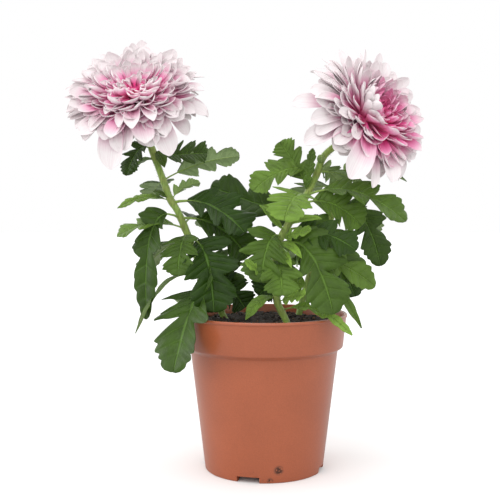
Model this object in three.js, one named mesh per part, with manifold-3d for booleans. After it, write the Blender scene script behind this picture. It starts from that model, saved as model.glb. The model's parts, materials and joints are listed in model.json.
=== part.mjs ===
// Pot chrysanthemum: two flowering shoots and a shorter one, standing in the soil of a moulded nursery pot.
// Millimetres, +Z up. The origin is the middle of the pot's foot, on the surface that it stands on.

import * as THREE from 'three';
import { mergeVertices } from 'three/addons/utils/BufferGeometryUtils.js';
import Module from 'manifold-3d';

const wasm = await Module();
wasm.setup();

const GAP = 0.3;                 // clearance between touching pieces
const BLADE = 0.8;               // thickness of a leaf
const PETAL = 0.7;               // thickness of a petal
const WELD = 0.03;               // detail smaller than this is dropped where blades cross
const GOLDEN_ANGLE = 137.508;    // turn from one leaf or petal to the next, degrees

const POT = {
  height: 112.5,
  rimRadius: 60,
  bandFootRadius: 57,
  bandFootZ: 89,
  wallTopRadius: 53.3,
  wallTopZ: 86.3,
  footRadius: 42.8,
  wall: 1.5,
  floorTop: 6,
  gutterTop: 4.4,
  buttonRadius: 14,
  footRingInner: 38,
  footEdge: 0.7,                 // how much the foot's outer edge is eased
  beadHeight: 2.4,
  beadStep: 0.7,                 // how far the lip's bead stands out of the band
  lipEdge: 0.5,                  // how much the lip's edges are eased
  innerDraft: 0.6,               // how much the wall thins towards its top and thickens at its foot
  sides: 36,
};
const NOTCH = { count: 4, width: 16, height: 4.2, depth: 14, firstAzimuth: -106 };
const DRAIN = { count: 8, radius: 3, ring: 26, sides: 8 };
// `rings` are shares of the soil's radius, and `stemHole` is how deep the cutter of a stem's hole is.
const SOIL = { edgeZ: 104.5, crownZ: 110, lump: 0.9, rings: [0.82, 0.6, 0.38, 0.18, 0], stemHole: 40 };

const STEM = { radius: 2.4, footZ: 90, ribs: 8, groove: 0.12, steps: 14 };
const CALYX = { height: 9, radius: 6.4, sides: 10 };

// Each shoot: its route from the soil up, and the leaves along it. A leaf leaves the stem at the height
// `from`, climbs at `rise` degrees and arches over to `tip`; `half` is half its width, and `face` is
// where its upper side looks. A showy petal hangs out of the bloom to a tip of its own: `start` is its
// slope at the foot, in degrees off the bloom's axis. A bud is its centre and its radius.
const SHOOT_LEFT = {
  route: [[-30, -6, 112], [-42, -6, 137], [-54, -6, 167], [-62, -6, 186], [-67.5, -5, 195],
    [-72, -4, 207], [-76.5, -2, 219], [-81, -3, 232], [-85, -7, 243.5]],
  bloomAt: [-88, -16, 256.5],
  bloomAxis: [-0.08, -0.62, 0.78],
  showyPetals: [
    { tip: [-104, -44, 214], start: 58, half: 10.5 },
    { tip: [-64, -44, 223], start: 62, half: 9.6 },
    { tip: [-52.6, -32, 238.1], start: 80, half: 7 },
    { tip: [-39.5, -20, 250.8], start: 70, half: 7 },
    { tip: [-137.8, -22, 254.7], start: 80, half: 9.5 },
    { tip: [-123.9, -34, 234.5], start: 85, half: 8.5 },
    { tip: [-83.1, -50, 234.6], start: 80, half: 7.6 },
  ],
  leaves: [
    { from: 230, tip: [-97, -16, 211], rise: 35, half: 10, face: [-3, -8, 6], kind: 'lobed' },
    { from: 223, tip: [-92, -4, 218], rise: 15, half: 4, face: [0, -4, 9], kind: 'bract' },
    { from: 227, tip: [-71, -10, 217], rise: 20, half: 4.5, face: [2, -8, 5], kind: 'bract' },
    { from: 225, tip: [-41, -4, 227], rise: 5, half: 14, face: [2, -7, 7], kind: 'lobed' },
    { from: 208, tip: [-18, 8, 226], rise: 32, half: 11, face: [-2, 9, 6], kind: 'lobed' },
    { from: 193, tip: [-46, -12, 206], rise: 70, half: 7, face: [-5, 6, 6], kind: 'lobed' },
    { from: 195, tip: [-79, -10, 200], rise: 30, half: 4, face: [0, -5, 8], kind: 'bract' },
    { from: 193, tip: [-104, -12, 188], rise: 25, half: 5.5, face: [0, -5, 8], kind: 'narrow' },
    { from: 173, tip: [-104, -14, 168], rise: 28, half: 13, face: [0, -3, 9], kind: 'lobed' },
    { from: 180, tip: [-83, -18, 110], rise: 35, half: 14, face: [-5, -8, 2], kind: 'lobed' },
    { from: 168, tip: [-60, -32, 142], rise: 15, half: 15, face: [-3, -9, 3], kind: 'lobed' },
    { from: 166, tip: [-35, -36, 117], rise: 5, half: 21, face: [1, -9, 3], kind: 'lobed' },
    { from: 139, tip: [-90, -26, 101], rise: 25, half: 6, face: [-5, 3, 8], kind: 'narrow' },
    { from: 124, tip: [-62, -44, 75], rise: 58, half: 24, face: [-7, -7, 2], kind: 'lobed' },
    { from: 192, tip: [-14, -24, 171], rise: 14, half: 21, face: [1, -6, 8], kind: 'lobed' },
    { from: 181, tip: [-12, -8, 153], rise: 5, half: 17, face: [0, -8, 5], kind: 'lobed' },
    { from: 150, tip: [-22, 4, 128], rise: 12, half: 16, face: [0, -8, 4], kind: 'lobed' },
    { from: 131, tip: [-14, -8, 117], rise: 25, half: 14, face: [0, -8, 5], kind: 'lobed' },
    { from: 202, tip: [-86, 42, 196], rise: 30, half: 13, face: [-2, 3, 9], kind: 'lobed' },
    { from: 176, tip: [-40, 52, 168], rise: 30, half: 14, face: [2, 4, 8], kind: 'lobed' },
    { from: 158, tip: [-92, 34, 138], rise: 30, half: 14, face: [-4, 4, 7], kind: 'lobed' },
    { from: 140, tip: [-40, 50, 124], rise: 30, half: 15, face: [1, 6, 6], kind: 'lobed' },
  ],
};
const SHOOT_RIGHT = {
  route: [[14, -36, 112], [8.2, -36, 125], [7.5, -35, 139], [8.3, -33, 161], [17.4, -28, 179],
    [29, -20, 197], [35, -14, 208], [42.3, -8, 225], [50.5, -4.5, 232.5], [57, -1, 238]],
  bloomAt: [66, -9, 246.5],
  bloomAxis: [0.56, -0.64, 0.52],
  showyPetals: [
    { tip: [54.5, -52, 208.5], start: 58, half: 10.5 },
    { tip: [26.5, -42, 231], start: 80, half: 9 },
    { tip: [18.5, -30, 257.9], start: 85, half: 8.5 },
    { tip: [72, -45, 201.7], start: 80, half: 5 },
    { tip: [84.3, -42, 205.8], start: 70, half: 9.5 },
    { tip: [94, -34, 216.9], start: 75, half: 8 },
    { tip: [33, 4, 286], start: 75, half: 8 },
  ],
  buds: [[40, -11, 223, 2.6]],
  leaves: [
    { from: 201, tip: [11, -8, 235], rise: 62, half: 11, face: [-4, -8, 4], kind: 'lobed' },
    { from: 196, tip: [34, -16, 230], rise: 80, half: 5, face: [-5, -8, 1], kind: 'narrow' },
    { from: 212, tip: [56, 0, 203], rise: 50, half: 9, face: [0, 8, 6], kind: 'lobed' },
    { from: 213, tip: [-8, -20, 200], rise: 26, half: 15, face: [-2, -7, 7], kind: 'lobed' },
    { from: 196, tip: [11, -64, 179], rise: 18, half: 20, face: [0, -6, 8], kind: 'lobed' },
    { from: 178, tip: [-1, -30, 190], rise: 50, half: 4, face: [-3, -8, 5], kind: 'bract' },
    { from: 178, tip: [13, -32, 188], rise: 70, half: 4, face: [-3, -8, 5], kind: 'bract' },
    { from: 197, tip: [95, -40, 179], rise: 24, half: 15, face: [1, -6, 8], kind: 'lobed' },
    { from: 213, tip: [82, -8, 188], rise: 14, half: 7, face: [2, 3, 9], kind: 'narrow' },
    { from: 191, tip: [67, -24, 176], rise: 22, half: 15, face: [0, -9, 4], kind: 'lobed' },
    { from: 168, tip: [61, -46, 160], rise: 28, half: 14, face: [1, -9, 5], kind: 'lobed' },
    { from: 162, tip: [45, -54, 118], rise: 32, half: 21, face: [2, -9, 3], kind: 'lobed' },
    { from: 172, tip: [66, -26, 134], rise: 25, half: 15, face: [3, -9, 3], kind: 'lobed' },
    { from: 150, tip: [76, -30, 134], rise: 25, half: 13, face: [2, -9, 4], kind: 'lobed' },
    { from: 146, tip: [66, -36, 106], rise: 40, half: 6, face: [2, -8, 5], kind: 'narrow' },
    { from: 128, tip: [56, -47, 104], rise: 45, half: 6, face: [1, -7, 7], kind: 'narrow' },
    { from: 127, tip: [-13, -46, 113], rise: 15, half: 6, face: [0, -4, 9], kind: 'bract' },
    { from: 168, tip: [-3, -52, 139], rise: 30, half: 18, face: [-2, -9, 3], kind: 'lobed' },
    { from: 151, tip: [11, -62, 131], rise: 20, half: 15, face: [0, -9, 4], kind: 'lobed' },
    { from: 136, tip: [-13, -34, 151], rise: 45, half: 6, face: [0, -8, 5], kind: 'narrow' },
    { from: 131, tip: [27, -46, 137], rise: 30, half: 8, face: [0, -8, 5], kind: 'bract' },
  ],
};
const SHOOT_BACK = {
  route: [[27, 18, 112], [31, 20, 127], [41, 22, 157], [52, 22, 187], [57, 20, 205], [62, 16, 218]],
  buds: [[62, 16, 218, 3.2]],
  leaves: [
    { from: 216, tip: [107, 26, 208], rise: 25, half: 5, face: [0, 2, 9], kind: 'narrow' },
    { from: 187, tip: [85, 6, 146], rise: 30, half: 15, face: [1, -9, 5], kind: 'lobed' },
    { from: 178, tip: [-39, 12, 204], rise: 10, half: 19, face: [-1, -8, 6], kind: 'lobed' },
    { from: 140, tip: [-4, 10, 124], rise: 10, half: 15, face: [0, -8, 4], kind: 'lobed' },
    { from: 150, tip: [66, 2, 124], rise: 15, half: 15, face: [2, -8, 4], kind: 'lobed' },
    { from: 200, tip: [26, 58, 196], rise: 30, half: 14, face: [-1, 4, 8], kind: 'lobed' },
    { from: 182, tip: [88, 54, 168], rise: 30, half: 15, face: [3, 4, 8], kind: 'lobed' },
    { from: 160, tip: [12, 62, 142], rise: 30, half: 15, face: [-2, 5, 7], kind: 'lobed' },
    { from: 136, tip: [64, 56, 122], rise: 35, half: 15, face: [2, 5, 7], kind: 'lobed' },
  ],
};

// How a blade's half width runs from its foot (0) to its tip (1), as shares of `half`: the lobes stand
// between the clefts. `petiole` is the stalk's share of the midrib.
const LEAF_KINDS = {
  lobed: {
    petiole: 0.2,
    outline: [[0, 0.14], [0.16, 0.95], [0.28, 0.38], [0.42, 1], [0.52, 0.9], [0.6, 0.36], [0.76, 0.68],
      [1, 0.08]],
  },
  narrow: {
    petiole: 0.16,
    outline: [[0, 0.15], [0.19, 0.78], [0.28, 0.42], [0.47, 1], [0.6, 0.46], [0.76, 0.68], [1, 0.06]],
  },
  bract: {
    petiole: 0.12,
    outline: [[0, 0.3], [0.4, 1], [0.7, 0.75], [1, 0.08]],
  },
};
const PETIOLE = { half: 1.1, thickness: 1.8 };
const VEIN_ANGLE = 45;           // between a side vein and the midrib, degrees
const KEEL_ANGLE = 16;           // how far each half of a blade is folded up, degrees

// A bloom's petals by rank, from the innermost (0) to the outermost (1). Slopes are degrees off the
// bloom's axis, where the petal leaves the core and at its tip. `sag` is how far its weight bends a petal
// on the lower side of the bloom and shortens its reach, and `spread` how uneven the petals are.
const BLOOM = {
  petals: 40,
  coreRadius: 12.5,
  coreHeight: 12,
  coreSides: 12,
  crowding: 0.8,                 // less than 1 gives more petals to the outer rows
  rows: [
    { rank: 0, rootAngle: 10, start: 6, end: -40, length: 10, half: 3, cup: 0.6 },
    { rank: 0.3, rootAngle: 48, start: 29, end: 6, length: 24, half: 5.4, cup: 0.45 },
    { rank: 0.6, rootAngle: 80, start: 44, end: 64, length: 35, half: 7, cup: 0.3 },
    { rank: 1, rootAngle: 112, start: 68, end: 120, length: 41, half: 8.4, cup: 0.2 },
  ],
  showy: { rootAngle: 95, cup: 0.2 },
  sag: { start: 8, end: 16, length: 0.08 },
  spread: { azimuth: 8, start: 4, end: 8, length: 0.08 },
};
// Shares of the petal's length, and of its half width there.
const PETAL_OUTLINE = [[0, 0.3], [0.42, 0.82], [0.8, 1], [1, 0.5]];

const UP = new THREE.Vector3(0, 0, 1);
const radians = THREE.MathUtils.degToRad;
const lerp = THREE.MathUtils.lerp;
const vector = (xyz) => new THREE.Vector3(...xyz);

// A repeatable stream of numbers from 0 to 1.
function randomStream(seed) {
  let state = seed;
  return () => {
    state = (state * 1664525 + 1013904223) % 4294967296;
    return state / 4294967296;
  };
}

// ---- solids ----

function toSolid(geometry) {
  geometry.deleteAttribute('normal');
  geometry.deleteAttribute('uv');
  const merged = mergeVertices(geometry, 1e-4);
  const mesh = new wasm.Mesh({
    numProp: 3,
    vertProperties: new Float32Array(merged.attributes.position.array),
    triVerts: new Uint32Array(merged.index.array),
  });
  return new wasm.Manifold(mesh);
}

function toGeometry(solid) {
  const { vertProperties, triVerts } = solid.getMesh();
  const geometry = new THREE.BufferGeometry();
  geometry.setAttribute('position', new THREE.BufferAttribute(new Float32Array(vertProperties), 3));
  geometry.setIndex(new THREE.BufferAttribute(new Uint32Array(triVerts), 1));
  return geometry;
}

// Joins solids into the one body that the first of them belongs to, with its sealed hollows filled.
function fuse(solids) {
  const joined = solids.reduce((whole, solid) => whole.add(solid));
  const bodies = joined.simplify(WELD).decompose();
  return bodies.reduce((largest, body) => (body.volume() > largest.volume() ? body : largest));
}

// ---- blades ----

// A thin closed blade through stations of { left, middle, right, normal, thickness }. Both of its faces
// are split along the same diagonals.
function bladeGeometry(stations) {
  const positions = [];
  for (const { left, middle, right, normal, thickness } of stations) {
    const lift = normal.clone().multiplyScalar(thickness / 2);
    for (const point of [left, middle, right]) positions.push(...point.clone().add(lift));
    for (const point of [right, middle, left]) positions.push(...point.clone().sub(lift));
  }
  const ring = 6;
  const index = [];
  for (let i = 0; i < stations.length - 1; i++) {
    for (let j = 0; j < ring; j++) {
      const a = i * ring + j;
      const b = i * ring + (j + 1) % ring;
      const c = b + ring;
      const d = a + ring;
      if (j % 3 === 0) index.push(a, b, d, b, c, d);
      else index.push(a, b, c, a, c, d);
    }
  }
  const cap = [0, 1, 4, 0, 4, 5, 1, 2, 3, 1, 3, 4];
  const last = (stations.length - 1) * ring;
  index.push(...cap.toReversed());
  index.push(...cap.map((corner) => corner + last));
  const geometry = new THREE.BufferGeometry();
  geometry.setAttribute('position', new THREE.Float32BufferAttribute(positions, 3));
  geometry.setIndex(index);
  return geometry;
}

// One station of a leaf: its side veins leave the midrib forwards, and its halves fold up.
function leafStation(midrib, share, face, half, thickness) {
  const middle = midrib.getPoint(share);
  const along = midrib.getTangent(share);
  const normal = face.clone().addScaledVector(along, -face.dot(along)).normalize();
  const side = along.clone().cross(normal);
  const forward = half * Math.cos(radians(VEIN_ANGLE));
  const outward = half * Math.cos(radians(KEEL_ANGLE));
  const upward = half * Math.sin(radians(KEEL_ANGLE));
  const edge = (sign) => middle.clone().addScaledVector(along, forward)
    .addScaledVector(side, sign * outward).addScaledVector(normal, upward);
  return { left: edge(-1), middle, right: edge(1), normal, thickness };
}

function leafSolid(root, leaf) {
  const tip = vector(leaf.tip);
  const reach = tip.clone().sub(root);
  const heading = reach.clone().setZ(0).normalize();
  const rise = radians(leaf.rise);
  const bend = root.clone().addScaledVector(heading, reach.length() / 2 * Math.cos(rise))
    .addScaledVector(UP, reach.length() / 2 * Math.sin(rise));
  const midrib = new THREE.QuadraticBezierCurve3(root, bend, tip);
  const face = vector(leaf.face).normalize();
  const { petiole, outline } = LEAF_KINDS[leaf.kind];
  const stations = [leafStation(midrib, 0, face, PETIOLE.half, PETIOLE.thickness)];
  for (const [share, width] of outline) {
    stations.push(leafStation(midrib, lerp(petiole, 1, share), face, width * leaf.half, BLADE));
  }
  return toSolid(bladeGeometry(stations));
}

// ---- shoots ----

// The line of a stem's lowest stretch, which goes straight on down to its foot in the soil.
function footLine(shoot) {
  const [soilPoint, next] = shoot.route.map(vector);
  const direction = next.sub(soilPoint).normalize();
  const foot = soilPoint.addScaledVector(direction, (STEM.footZ - soilPoint.z) / direction.z);
  return { foot, direction };
}

function routeCurve(shoot) {
  const points = [footLine(shoot).foot, ...shoot.route.map(vector)];
  if (shoot.bloomAt) {
    points.push(vector(shoot.bloomAt).addScaledVector(vector(shoot.bloomAxis).normalize(), -1));
  }
  return new THREE.CatmullRomCurve3(points, false, 'centripetal');
}

// Where a rising curve passes a height.
function pointAtHeight(curve, height) {
  let low = 0;
  let high = 1;
  for (let i = 0; i < 20; i++) {
    const middle = (low + high) / 2;
    if (curve.getPoint(middle).z < height) low = middle;
    else high = middle;
  }
  return curve.getPoint(low);
}

function stemSolid(curve) {
  const { ribs, groove, steps } = STEM;
  const corners = Array.from({ length: ribs }, (_, i) => {
    const angle = 2 * Math.PI * i / ribs;
    const radius = STEM.radius * (i % 2 ? 1 - groove : 1);
    return new THREE.Vector2(radius * Math.cos(angle), radius * Math.sin(angle));
  });
  const section = new THREE.Shape(corners);
  return toSolid(new THREE.ExtrudeGeometry(section, { steps, extrudePath: curve, bevelEnabled: false }));
}

// The cup under a bloom, by shares of its height and radius, turned to the bloom's axis.
function calyxSolid(shoot) {
  const { height, radius, sides } = CALYX;
  const profile = [[0, -height], [STEM.radius * 0.8, -height], [radius * 0.7, -height * 0.4],
    [radius, -height * 0.12], [radius, 0], [0, 0]];
  const cup = latheGeometry(profile, sides);
  const turn = new THREE.Quaternion().setFromUnitVectors(UP, vector(shoot.bloomAxis).normalize());
  cup.applyQuaternion(turn);
  cup.translate(...shoot.bloomAt);
  return toSolid(cup);
}

// A bud, a little taller than wide.
function budSolid(centre, radius) {
  const bud = new THREE.SphereGeometry(radius, 8, 6);
  bud.scale(1, 1, 1.2);
  bud.translate(...centre);
  return toSolid(bud);
}

function shootSolid(shoot) {
  const curve = routeCurve(shoot);
  const pieces = [stemSolid(curve)];
  if (shoot.bloomAt) pieces.push(calyxSolid(shoot));
  for (const [x, y, z, radius] of shoot.buds ?? []) pieces.push(budSolid([x, y, z], radius));
  for (const leaf of shoot.leaves) pieces.push(leafSolid(pointAtHeight(curve, leaf.from), leaf));
  return fuse(pieces);
}

// ---- blooms ----

// A petal's station at a share of its length, in the upright plane through the bloom's axis, turned
// later to its azimuth. Its slope runs evenly from `start` to `end` degrees off the axis.
function petalStation(petal, share, width) {
  const start = radians(petal.start);
  const turn = radians(petal.end) - start;
  const slope = start + turn * share;
  const reach = petal.length / turn;
  const middle = new THREE.Vector3(
    petal.root.x + reach * (Math.cos(start) - Math.cos(slope)),
    0,
    petal.root.z + reach * (Math.sin(slope) - Math.sin(start)),
  );
  const normal = new THREE.Vector3(-Math.cos(slope), 0, Math.sin(slope));
  const half = width * petal.half;
  const edge = (sign) => middle.clone().add(new THREE.Vector3(0, sign * half, 0))
    .addScaledVector(normal, petal.cup * half);
  return { left: edge(1), middle, right: edge(-1), normal, thickness: PETAL };
}

function petalOfRank(rank) {
  const next = BLOOM.rows.findIndex((row) => row.rank >= rank);
  const [inner, outer] = [BLOOM.rows[next - 1], BLOOM.rows[next]];
  const share = (rank - inner.rank) / (outer.rank - inner.rank);
  const petal = {};
  for (const key of Object.keys(inner)) petal[key] = lerp(inner[key], outer[key], share);
  return petal;
}

// Where a petal leaves the core: sunk a little into its side, and higher for an inner petal.
function rootOnCore(rootAngle) {
  const { coreRadius, coreHeight } = BLOOM;
  const angle = radians(rootAngle);
  return { x: coreRadius * 0.86 * Math.sin(angle), z: coreHeight * (0.5 + 0.4 * Math.cos(angle)) };
}

function petalSolid(petal, azimuth) {
  const blade = bladeGeometry(PETAL_OUTLINE.map(([share, width]) => petalStation(petal, share, width)));
  blade.rotateZ(azimuth);
  return toSolid(blade);
}

// A petal that bends evenly from its foot to a tip in the bloom's own frame.
function showyPetalSolid({ tip, start, half }) {
  const { rootAngle, cup } = BLOOM.showy;
  const root = rootOnCore(rootAngle);
  const out = Math.hypot(tip.x, tip.y) - root.x;
  const up = tip.z - root.z;
  const end = 2 * THREE.MathUtils.radToDeg(Math.atan2(out, up)) - start;
  const halfTurn = radians(end - start) / 2;
  const length = Math.hypot(out, up) * halfTurn / Math.sin(halfTurn);
  return petalSolid({ root, start, end, length, half, cup }, Math.atan2(tip.y, tip.x));
}

// A bloom in its own frame, where the axis is +Z: `down` is the direction of gravity there, and
// `showyPetals` have their tips there.
function bloomSolid(down, showyPetals, seed) {
  const random = randomStream(seed);
  const uneven = (amount) => lerp(-amount, amount, random());
  const { petals, coreRadius, coreHeight, coreSides, crowding, sag, spread } = BLOOM;
  const coreProfile = [[0, 0], [CALYX.radius * 0.95, 0], [coreRadius, coreHeight * 0.3],
    [coreRadius, coreHeight * 0.6], [coreRadius * 0.6, coreHeight * 0.92], [0, coreHeight]];
  const pieces = [toSolid(latheGeometry(coreProfile, coreSides))];
  for (let i = 0; i < petals; i++) {
    const petal = petalOfRank(((i + 0.5) / petals) ** crowding);
    const azimuth = radians(i * GOLDEN_ANGLE + uneven(spread.azimuth));
    const downhill = down.x * Math.cos(azimuth) + down.y * Math.sin(azimuth);
    petal.root = rootOnCore(petal.rootAngle);
    petal.length *= 1 + uneven(spread.length) - sag.length * downhill;
    petal.start += sag.start * downhill + uneven(spread.start);
    petal.end += sag.end * downhill + uneven(spread.end);
    pieces.push(petalSolid(petal, azimuth));
  }
  for (const petal of showyPetals) pieces.push(showyPetalSolid(petal));
  return fuse(pieces);
}

// ---- pot and soil ----

// A solid of revolution about Z, from [radius, height] points.
function latheGeometry(profile, sides) {
  const lathe = new THREE.LatheGeometry(profile.map((point) => new THREE.Vector2(...point)), sides);
  lathe.rotateX(Math.PI / 2);
  return lathe;
}

// The corners of the pot's inner wall, or of what fills it with the clearance `inset`.
function potInside(inset) {
  const { height, rimRadius, bandFootRadius, bandFootZ, wallTopRadius, wallTopZ, footRadius } = POT;
  const inwards = POT.wall + inset;
  return {
    foot: footRadius + POT.innerDraft - inwards,
    wallTop: [wallTopRadius - inwards, wallTopZ + 0.5],
    bandFoot: [bandFootRadius - inwards, bandFootZ + 1],
    lip: [rimRadius - POT.innerDraft - inwards, height],
  };
}

function potSolid() {
  const { height, rimRadius, bandFootRadius, bandFootZ, wallTopRadius, wallTopZ, footRadius } = POT;
  const { footEdge, beadHeight, beadStep, lipEdge } = POT;
  const inside = potInside(0);
  const profile = [
    [0, 0], [POT.buttonRadius, 0], [POT.buttonRadius + 1, POT.gutterTop],
    [POT.footRingInner - 1, POT.gutterTop], [POT.footRingInner, 0],
    [footRadius - footEdge, 0], [footRadius, footEdge],
    [wallTopRadius, wallTopZ], [bandFootRadius, bandFootZ],
    [rimRadius - beadStep, height - beadHeight], [rimRadius, height - beadHeight + lipEdge],
    [rimRadius, height - lipEdge], [rimRadius - lipEdge, height],
    inside.lip, inside.bandFoot, inside.wallTop, [inside.foot, POT.floorTop], [0, POT.floorTop],
  ];
  let pot = toSolid(latheGeometry(profile, POT.sides));
  for (let i = 0; i < NOTCH.count; i++) {
    const notch = new THREE.BoxGeometry(NOTCH.depth, NOTCH.width, NOTCH.height * 2);
    notch.translate(footRadius + 1, 0, 0);
    notch.rotateZ(radians(NOTCH.firstAzimuth + 360 * i / NOTCH.count));
    pot = pot.subtract(toSolid(notch));
  }
  for (let i = 0; i < DRAIN.count; i++) {
    const drain = new THREE.CylinderGeometry(DRAIN.radius, DRAIN.radius, POT.floorTop * 4, DRAIN.sides);
    drain.rotateX(Math.PI / 2);
    drain.translate(DRAIN.ring, 0, 0);
    drain.rotateZ(2 * Math.PI * (i + 0.5) / DRAIN.count);
    pot = pot.subtract(toSolid(drain));
  }
  return pot;
}

// Low clods on the soil's top, as waves of 20 to 35 mm that cross each other.
function clod(x, y) {
  return SOIL.lump * (Math.sin(0.31 * x + 0.17 * y) + Math.sin(0.23 * y - 0.29 * x + 2) * Math.cos(0.19 * x));
}

function soilSolid(shoots) {
  const inside = potInside(GAP + 0.05);
  const bandShare = (SOIL.edgeZ - inside.bandFoot[1]) / (inside.lip[1] - inside.bandFoot[1]);
  const edgeRadius = lerp(inside.bandFoot[0], inside.lip[0], bandShare);
  const profile = [[0, POT.floorTop + GAP], [inside.foot, POT.floorTop + GAP], inside.wallTop, inside.bandFoot,
    [edgeRadius, SOIL.edgeZ]];
  for (const share of SOIL.rings) {
    profile.push([edgeRadius * share, lerp(SOIL.crownZ, SOIL.edgeZ, share ** 2)]);
  }
  const lump = latheGeometry(profile, POT.sides);
  const { position } = lump.attributes;
  for (let i = 0; i < position.count; i++) {
    if (position.getZ(i) > SOIL.edgeZ + 0.1) {
      position.setZ(i, position.getZ(i) + clod(position.getX(i), position.getY(i)));
    }
  }
  let soil = toSolid(lump);
  for (const { foot, direction } of shoots.map(footLine)) {
    const radius = STEM.radius + 1.5 * GAP;
    const hole = new THREE.CylinderGeometry(radius, radius, SOIL.stemHole, 12);
    hole.translate(0, SOIL.stemHole / 2 - GAP, 0);
    hole.applyQuaternion(new THREE.Quaternion().setFromUnitVectors(new THREE.Vector3(0, 1, 0), direction));
    hole.translate(...foot);
    soil = soil.subtract(toSolid(hole));
  }
  return soil;
}

// ---- the plant ----

const TERRACOTTA = 0xc0714f;
const SOIL_BROWN = 0x32281f;
const LEAF_GREEN = 0x3f6b1c;
const PETAL_PINK = 0xe9bfd3;
const chrysanthemum = new THREE.Group();

function addPiece(name, solid, color, roughness) {
  const material = new THREE.MeshStandardMaterial({ color, roughness, metalness: 0, flatShading: true });
  const mesh = new THREE.Mesh(toGeometry(solid), material);
  mesh.name = name;
  chrysanthemum.add(mesh);
  return mesh;
}

// A bloom is made upright, then turned to its axis and set on its calyx.
function addBloom(name, shoot, seed) {
  const axis = vector(shoot.bloomAxis).normalize();
  const turn = new THREE.Quaternion().setFromUnitVectors(UP, axis);
  const turnBack = turn.clone().invert();
  const place = vector(shoot.bloomAt).addScaledVector(axis, GAP);
  const down = UP.clone().negate().applyQuaternion(turnBack);
  const showyPetals = shoot.showyPetals.map((petal) => (
    { ...petal, tip: vector(petal.tip).sub(place).applyQuaternion(turnBack) }));
  const bloom = addPiece(name, bloomSolid(down, showyPetals, seed), PETAL_PINK, 0.6);
  bloom.quaternion.copy(turn);
  bloom.position.copy(place);
}

addPiece('pot', potSolid(), TERRACOTTA, 0.45);
addPiece('soil', soilSolid([SHOOT_LEFT, SHOOT_RIGHT, SHOOT_BACK]), SOIL_BROWN, 0.95);
addPiece('stem_left', shootSolid(SHOOT_LEFT), LEAF_GREEN, 0.55);
addPiece('stem_right', shootSolid(SHOOT_RIGHT), LEAF_GREEN, 0.55);
addPiece('stem_back', shootSolid(SHOOT_BACK), LEAF_GREEN, 0.55);
addBloom('bloom_left', SHOOT_LEFT, 11);
addBloom('bloom_right', SHOOT_RIGHT, 23);

export default chrysanthemum;
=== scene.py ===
"""Pot chrysanthemum: a moulded nursery pot with its soil, three leafy shoots and two large blooms.

The tables hold millimetres, with +Z up and the origin under the middle of the pot's foot. Each piece
is modelled in millimetres and brought to metres as it is finished.
"""

import json
import math
import random
from collections import namedtuple

import bmesh
import bpy
from bpy.props import FloatProperty, FloatVectorProperty, IntProperty, PointerProperty
from mathutils import Matrix, Vector, noise

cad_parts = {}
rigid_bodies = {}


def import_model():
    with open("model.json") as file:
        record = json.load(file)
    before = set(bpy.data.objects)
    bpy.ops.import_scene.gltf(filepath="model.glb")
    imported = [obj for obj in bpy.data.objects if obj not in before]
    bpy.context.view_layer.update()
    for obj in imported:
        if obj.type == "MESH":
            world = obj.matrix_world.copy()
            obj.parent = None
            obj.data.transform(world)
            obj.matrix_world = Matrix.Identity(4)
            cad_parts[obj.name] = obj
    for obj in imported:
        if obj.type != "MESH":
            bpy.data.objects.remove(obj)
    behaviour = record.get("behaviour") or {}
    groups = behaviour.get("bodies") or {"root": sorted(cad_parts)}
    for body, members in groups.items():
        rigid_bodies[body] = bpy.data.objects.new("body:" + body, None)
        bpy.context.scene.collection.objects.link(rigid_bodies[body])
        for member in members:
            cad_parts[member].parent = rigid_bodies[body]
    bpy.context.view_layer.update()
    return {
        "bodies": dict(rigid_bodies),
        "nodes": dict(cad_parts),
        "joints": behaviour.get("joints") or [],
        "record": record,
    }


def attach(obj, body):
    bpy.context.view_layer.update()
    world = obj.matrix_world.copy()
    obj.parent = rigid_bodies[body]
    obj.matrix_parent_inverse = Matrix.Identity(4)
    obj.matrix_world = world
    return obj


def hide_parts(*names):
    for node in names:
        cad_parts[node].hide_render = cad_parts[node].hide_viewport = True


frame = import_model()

bl_info = {
    "name": "Pot Chrysanthemum",
    "version": (1, 0, 0),
    "blender": (4, 5, 0),
    "location": "View3D > Sidebar > Chrysanthemum",
    "description": "Makes a flowering pot chrysanthemum, piece by piece",
    "category": "Add Mesh",
}

MM = 0.001
UP = Vector((0, 0, 1))
GOLDEN_ANGLE = math.radians(137.508)
GAP = 0.3                                # clearance between touching pieces
LONGEST_STRETCH = 5                      # of a turned profile, before it is split

# ---- the pot's profile ----

WALL_TOP = (53.3, 86.3)                  # radius and height where the tapered wall meets the band
BAND_FOOT = (57.0, 89.0)
FOOT_RADIUS = 42.8
FLOOR_TOP = 6.0
GUTTER_TOP = 4.4
BUTTON_RADIUS = 14.0
FOOT_RING_INNER = 38.0
BEAD_HEIGHT = 2.4
NOTCH = {"count": 4, "width": 16.0, "height": 4.2, "depth": 14, "first": -106.0}
DRAIN = {"count": 8, "sides": 24, "radius": 3.0, "depth": 20, "ring": 26.0}
POT_SIDES = 160
CRISP_ANGLE = math.radians(32)           # an edge of the pot that turns by more is kept crisp
SPLASH_HEIGHT = 20.0                     # up to here there are specks of soil on the pot
SMUDGES = [((9.2, -42.2, 9.3), 4.0), ((3.4, -41.5, 2.0), 3.0)]      # soil rubbed on: middle, radius

# ---- the soil ----

SOIL = {"edge": 104.5, "crown": 110.0, "lump": 0.9, "grain": 0.8, "rings": 34, "sides": 120, "seed": 5}
STEM_HOLE = {"length": 40, "sides": 20}  # the rod that cuts a hole for a stem
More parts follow.
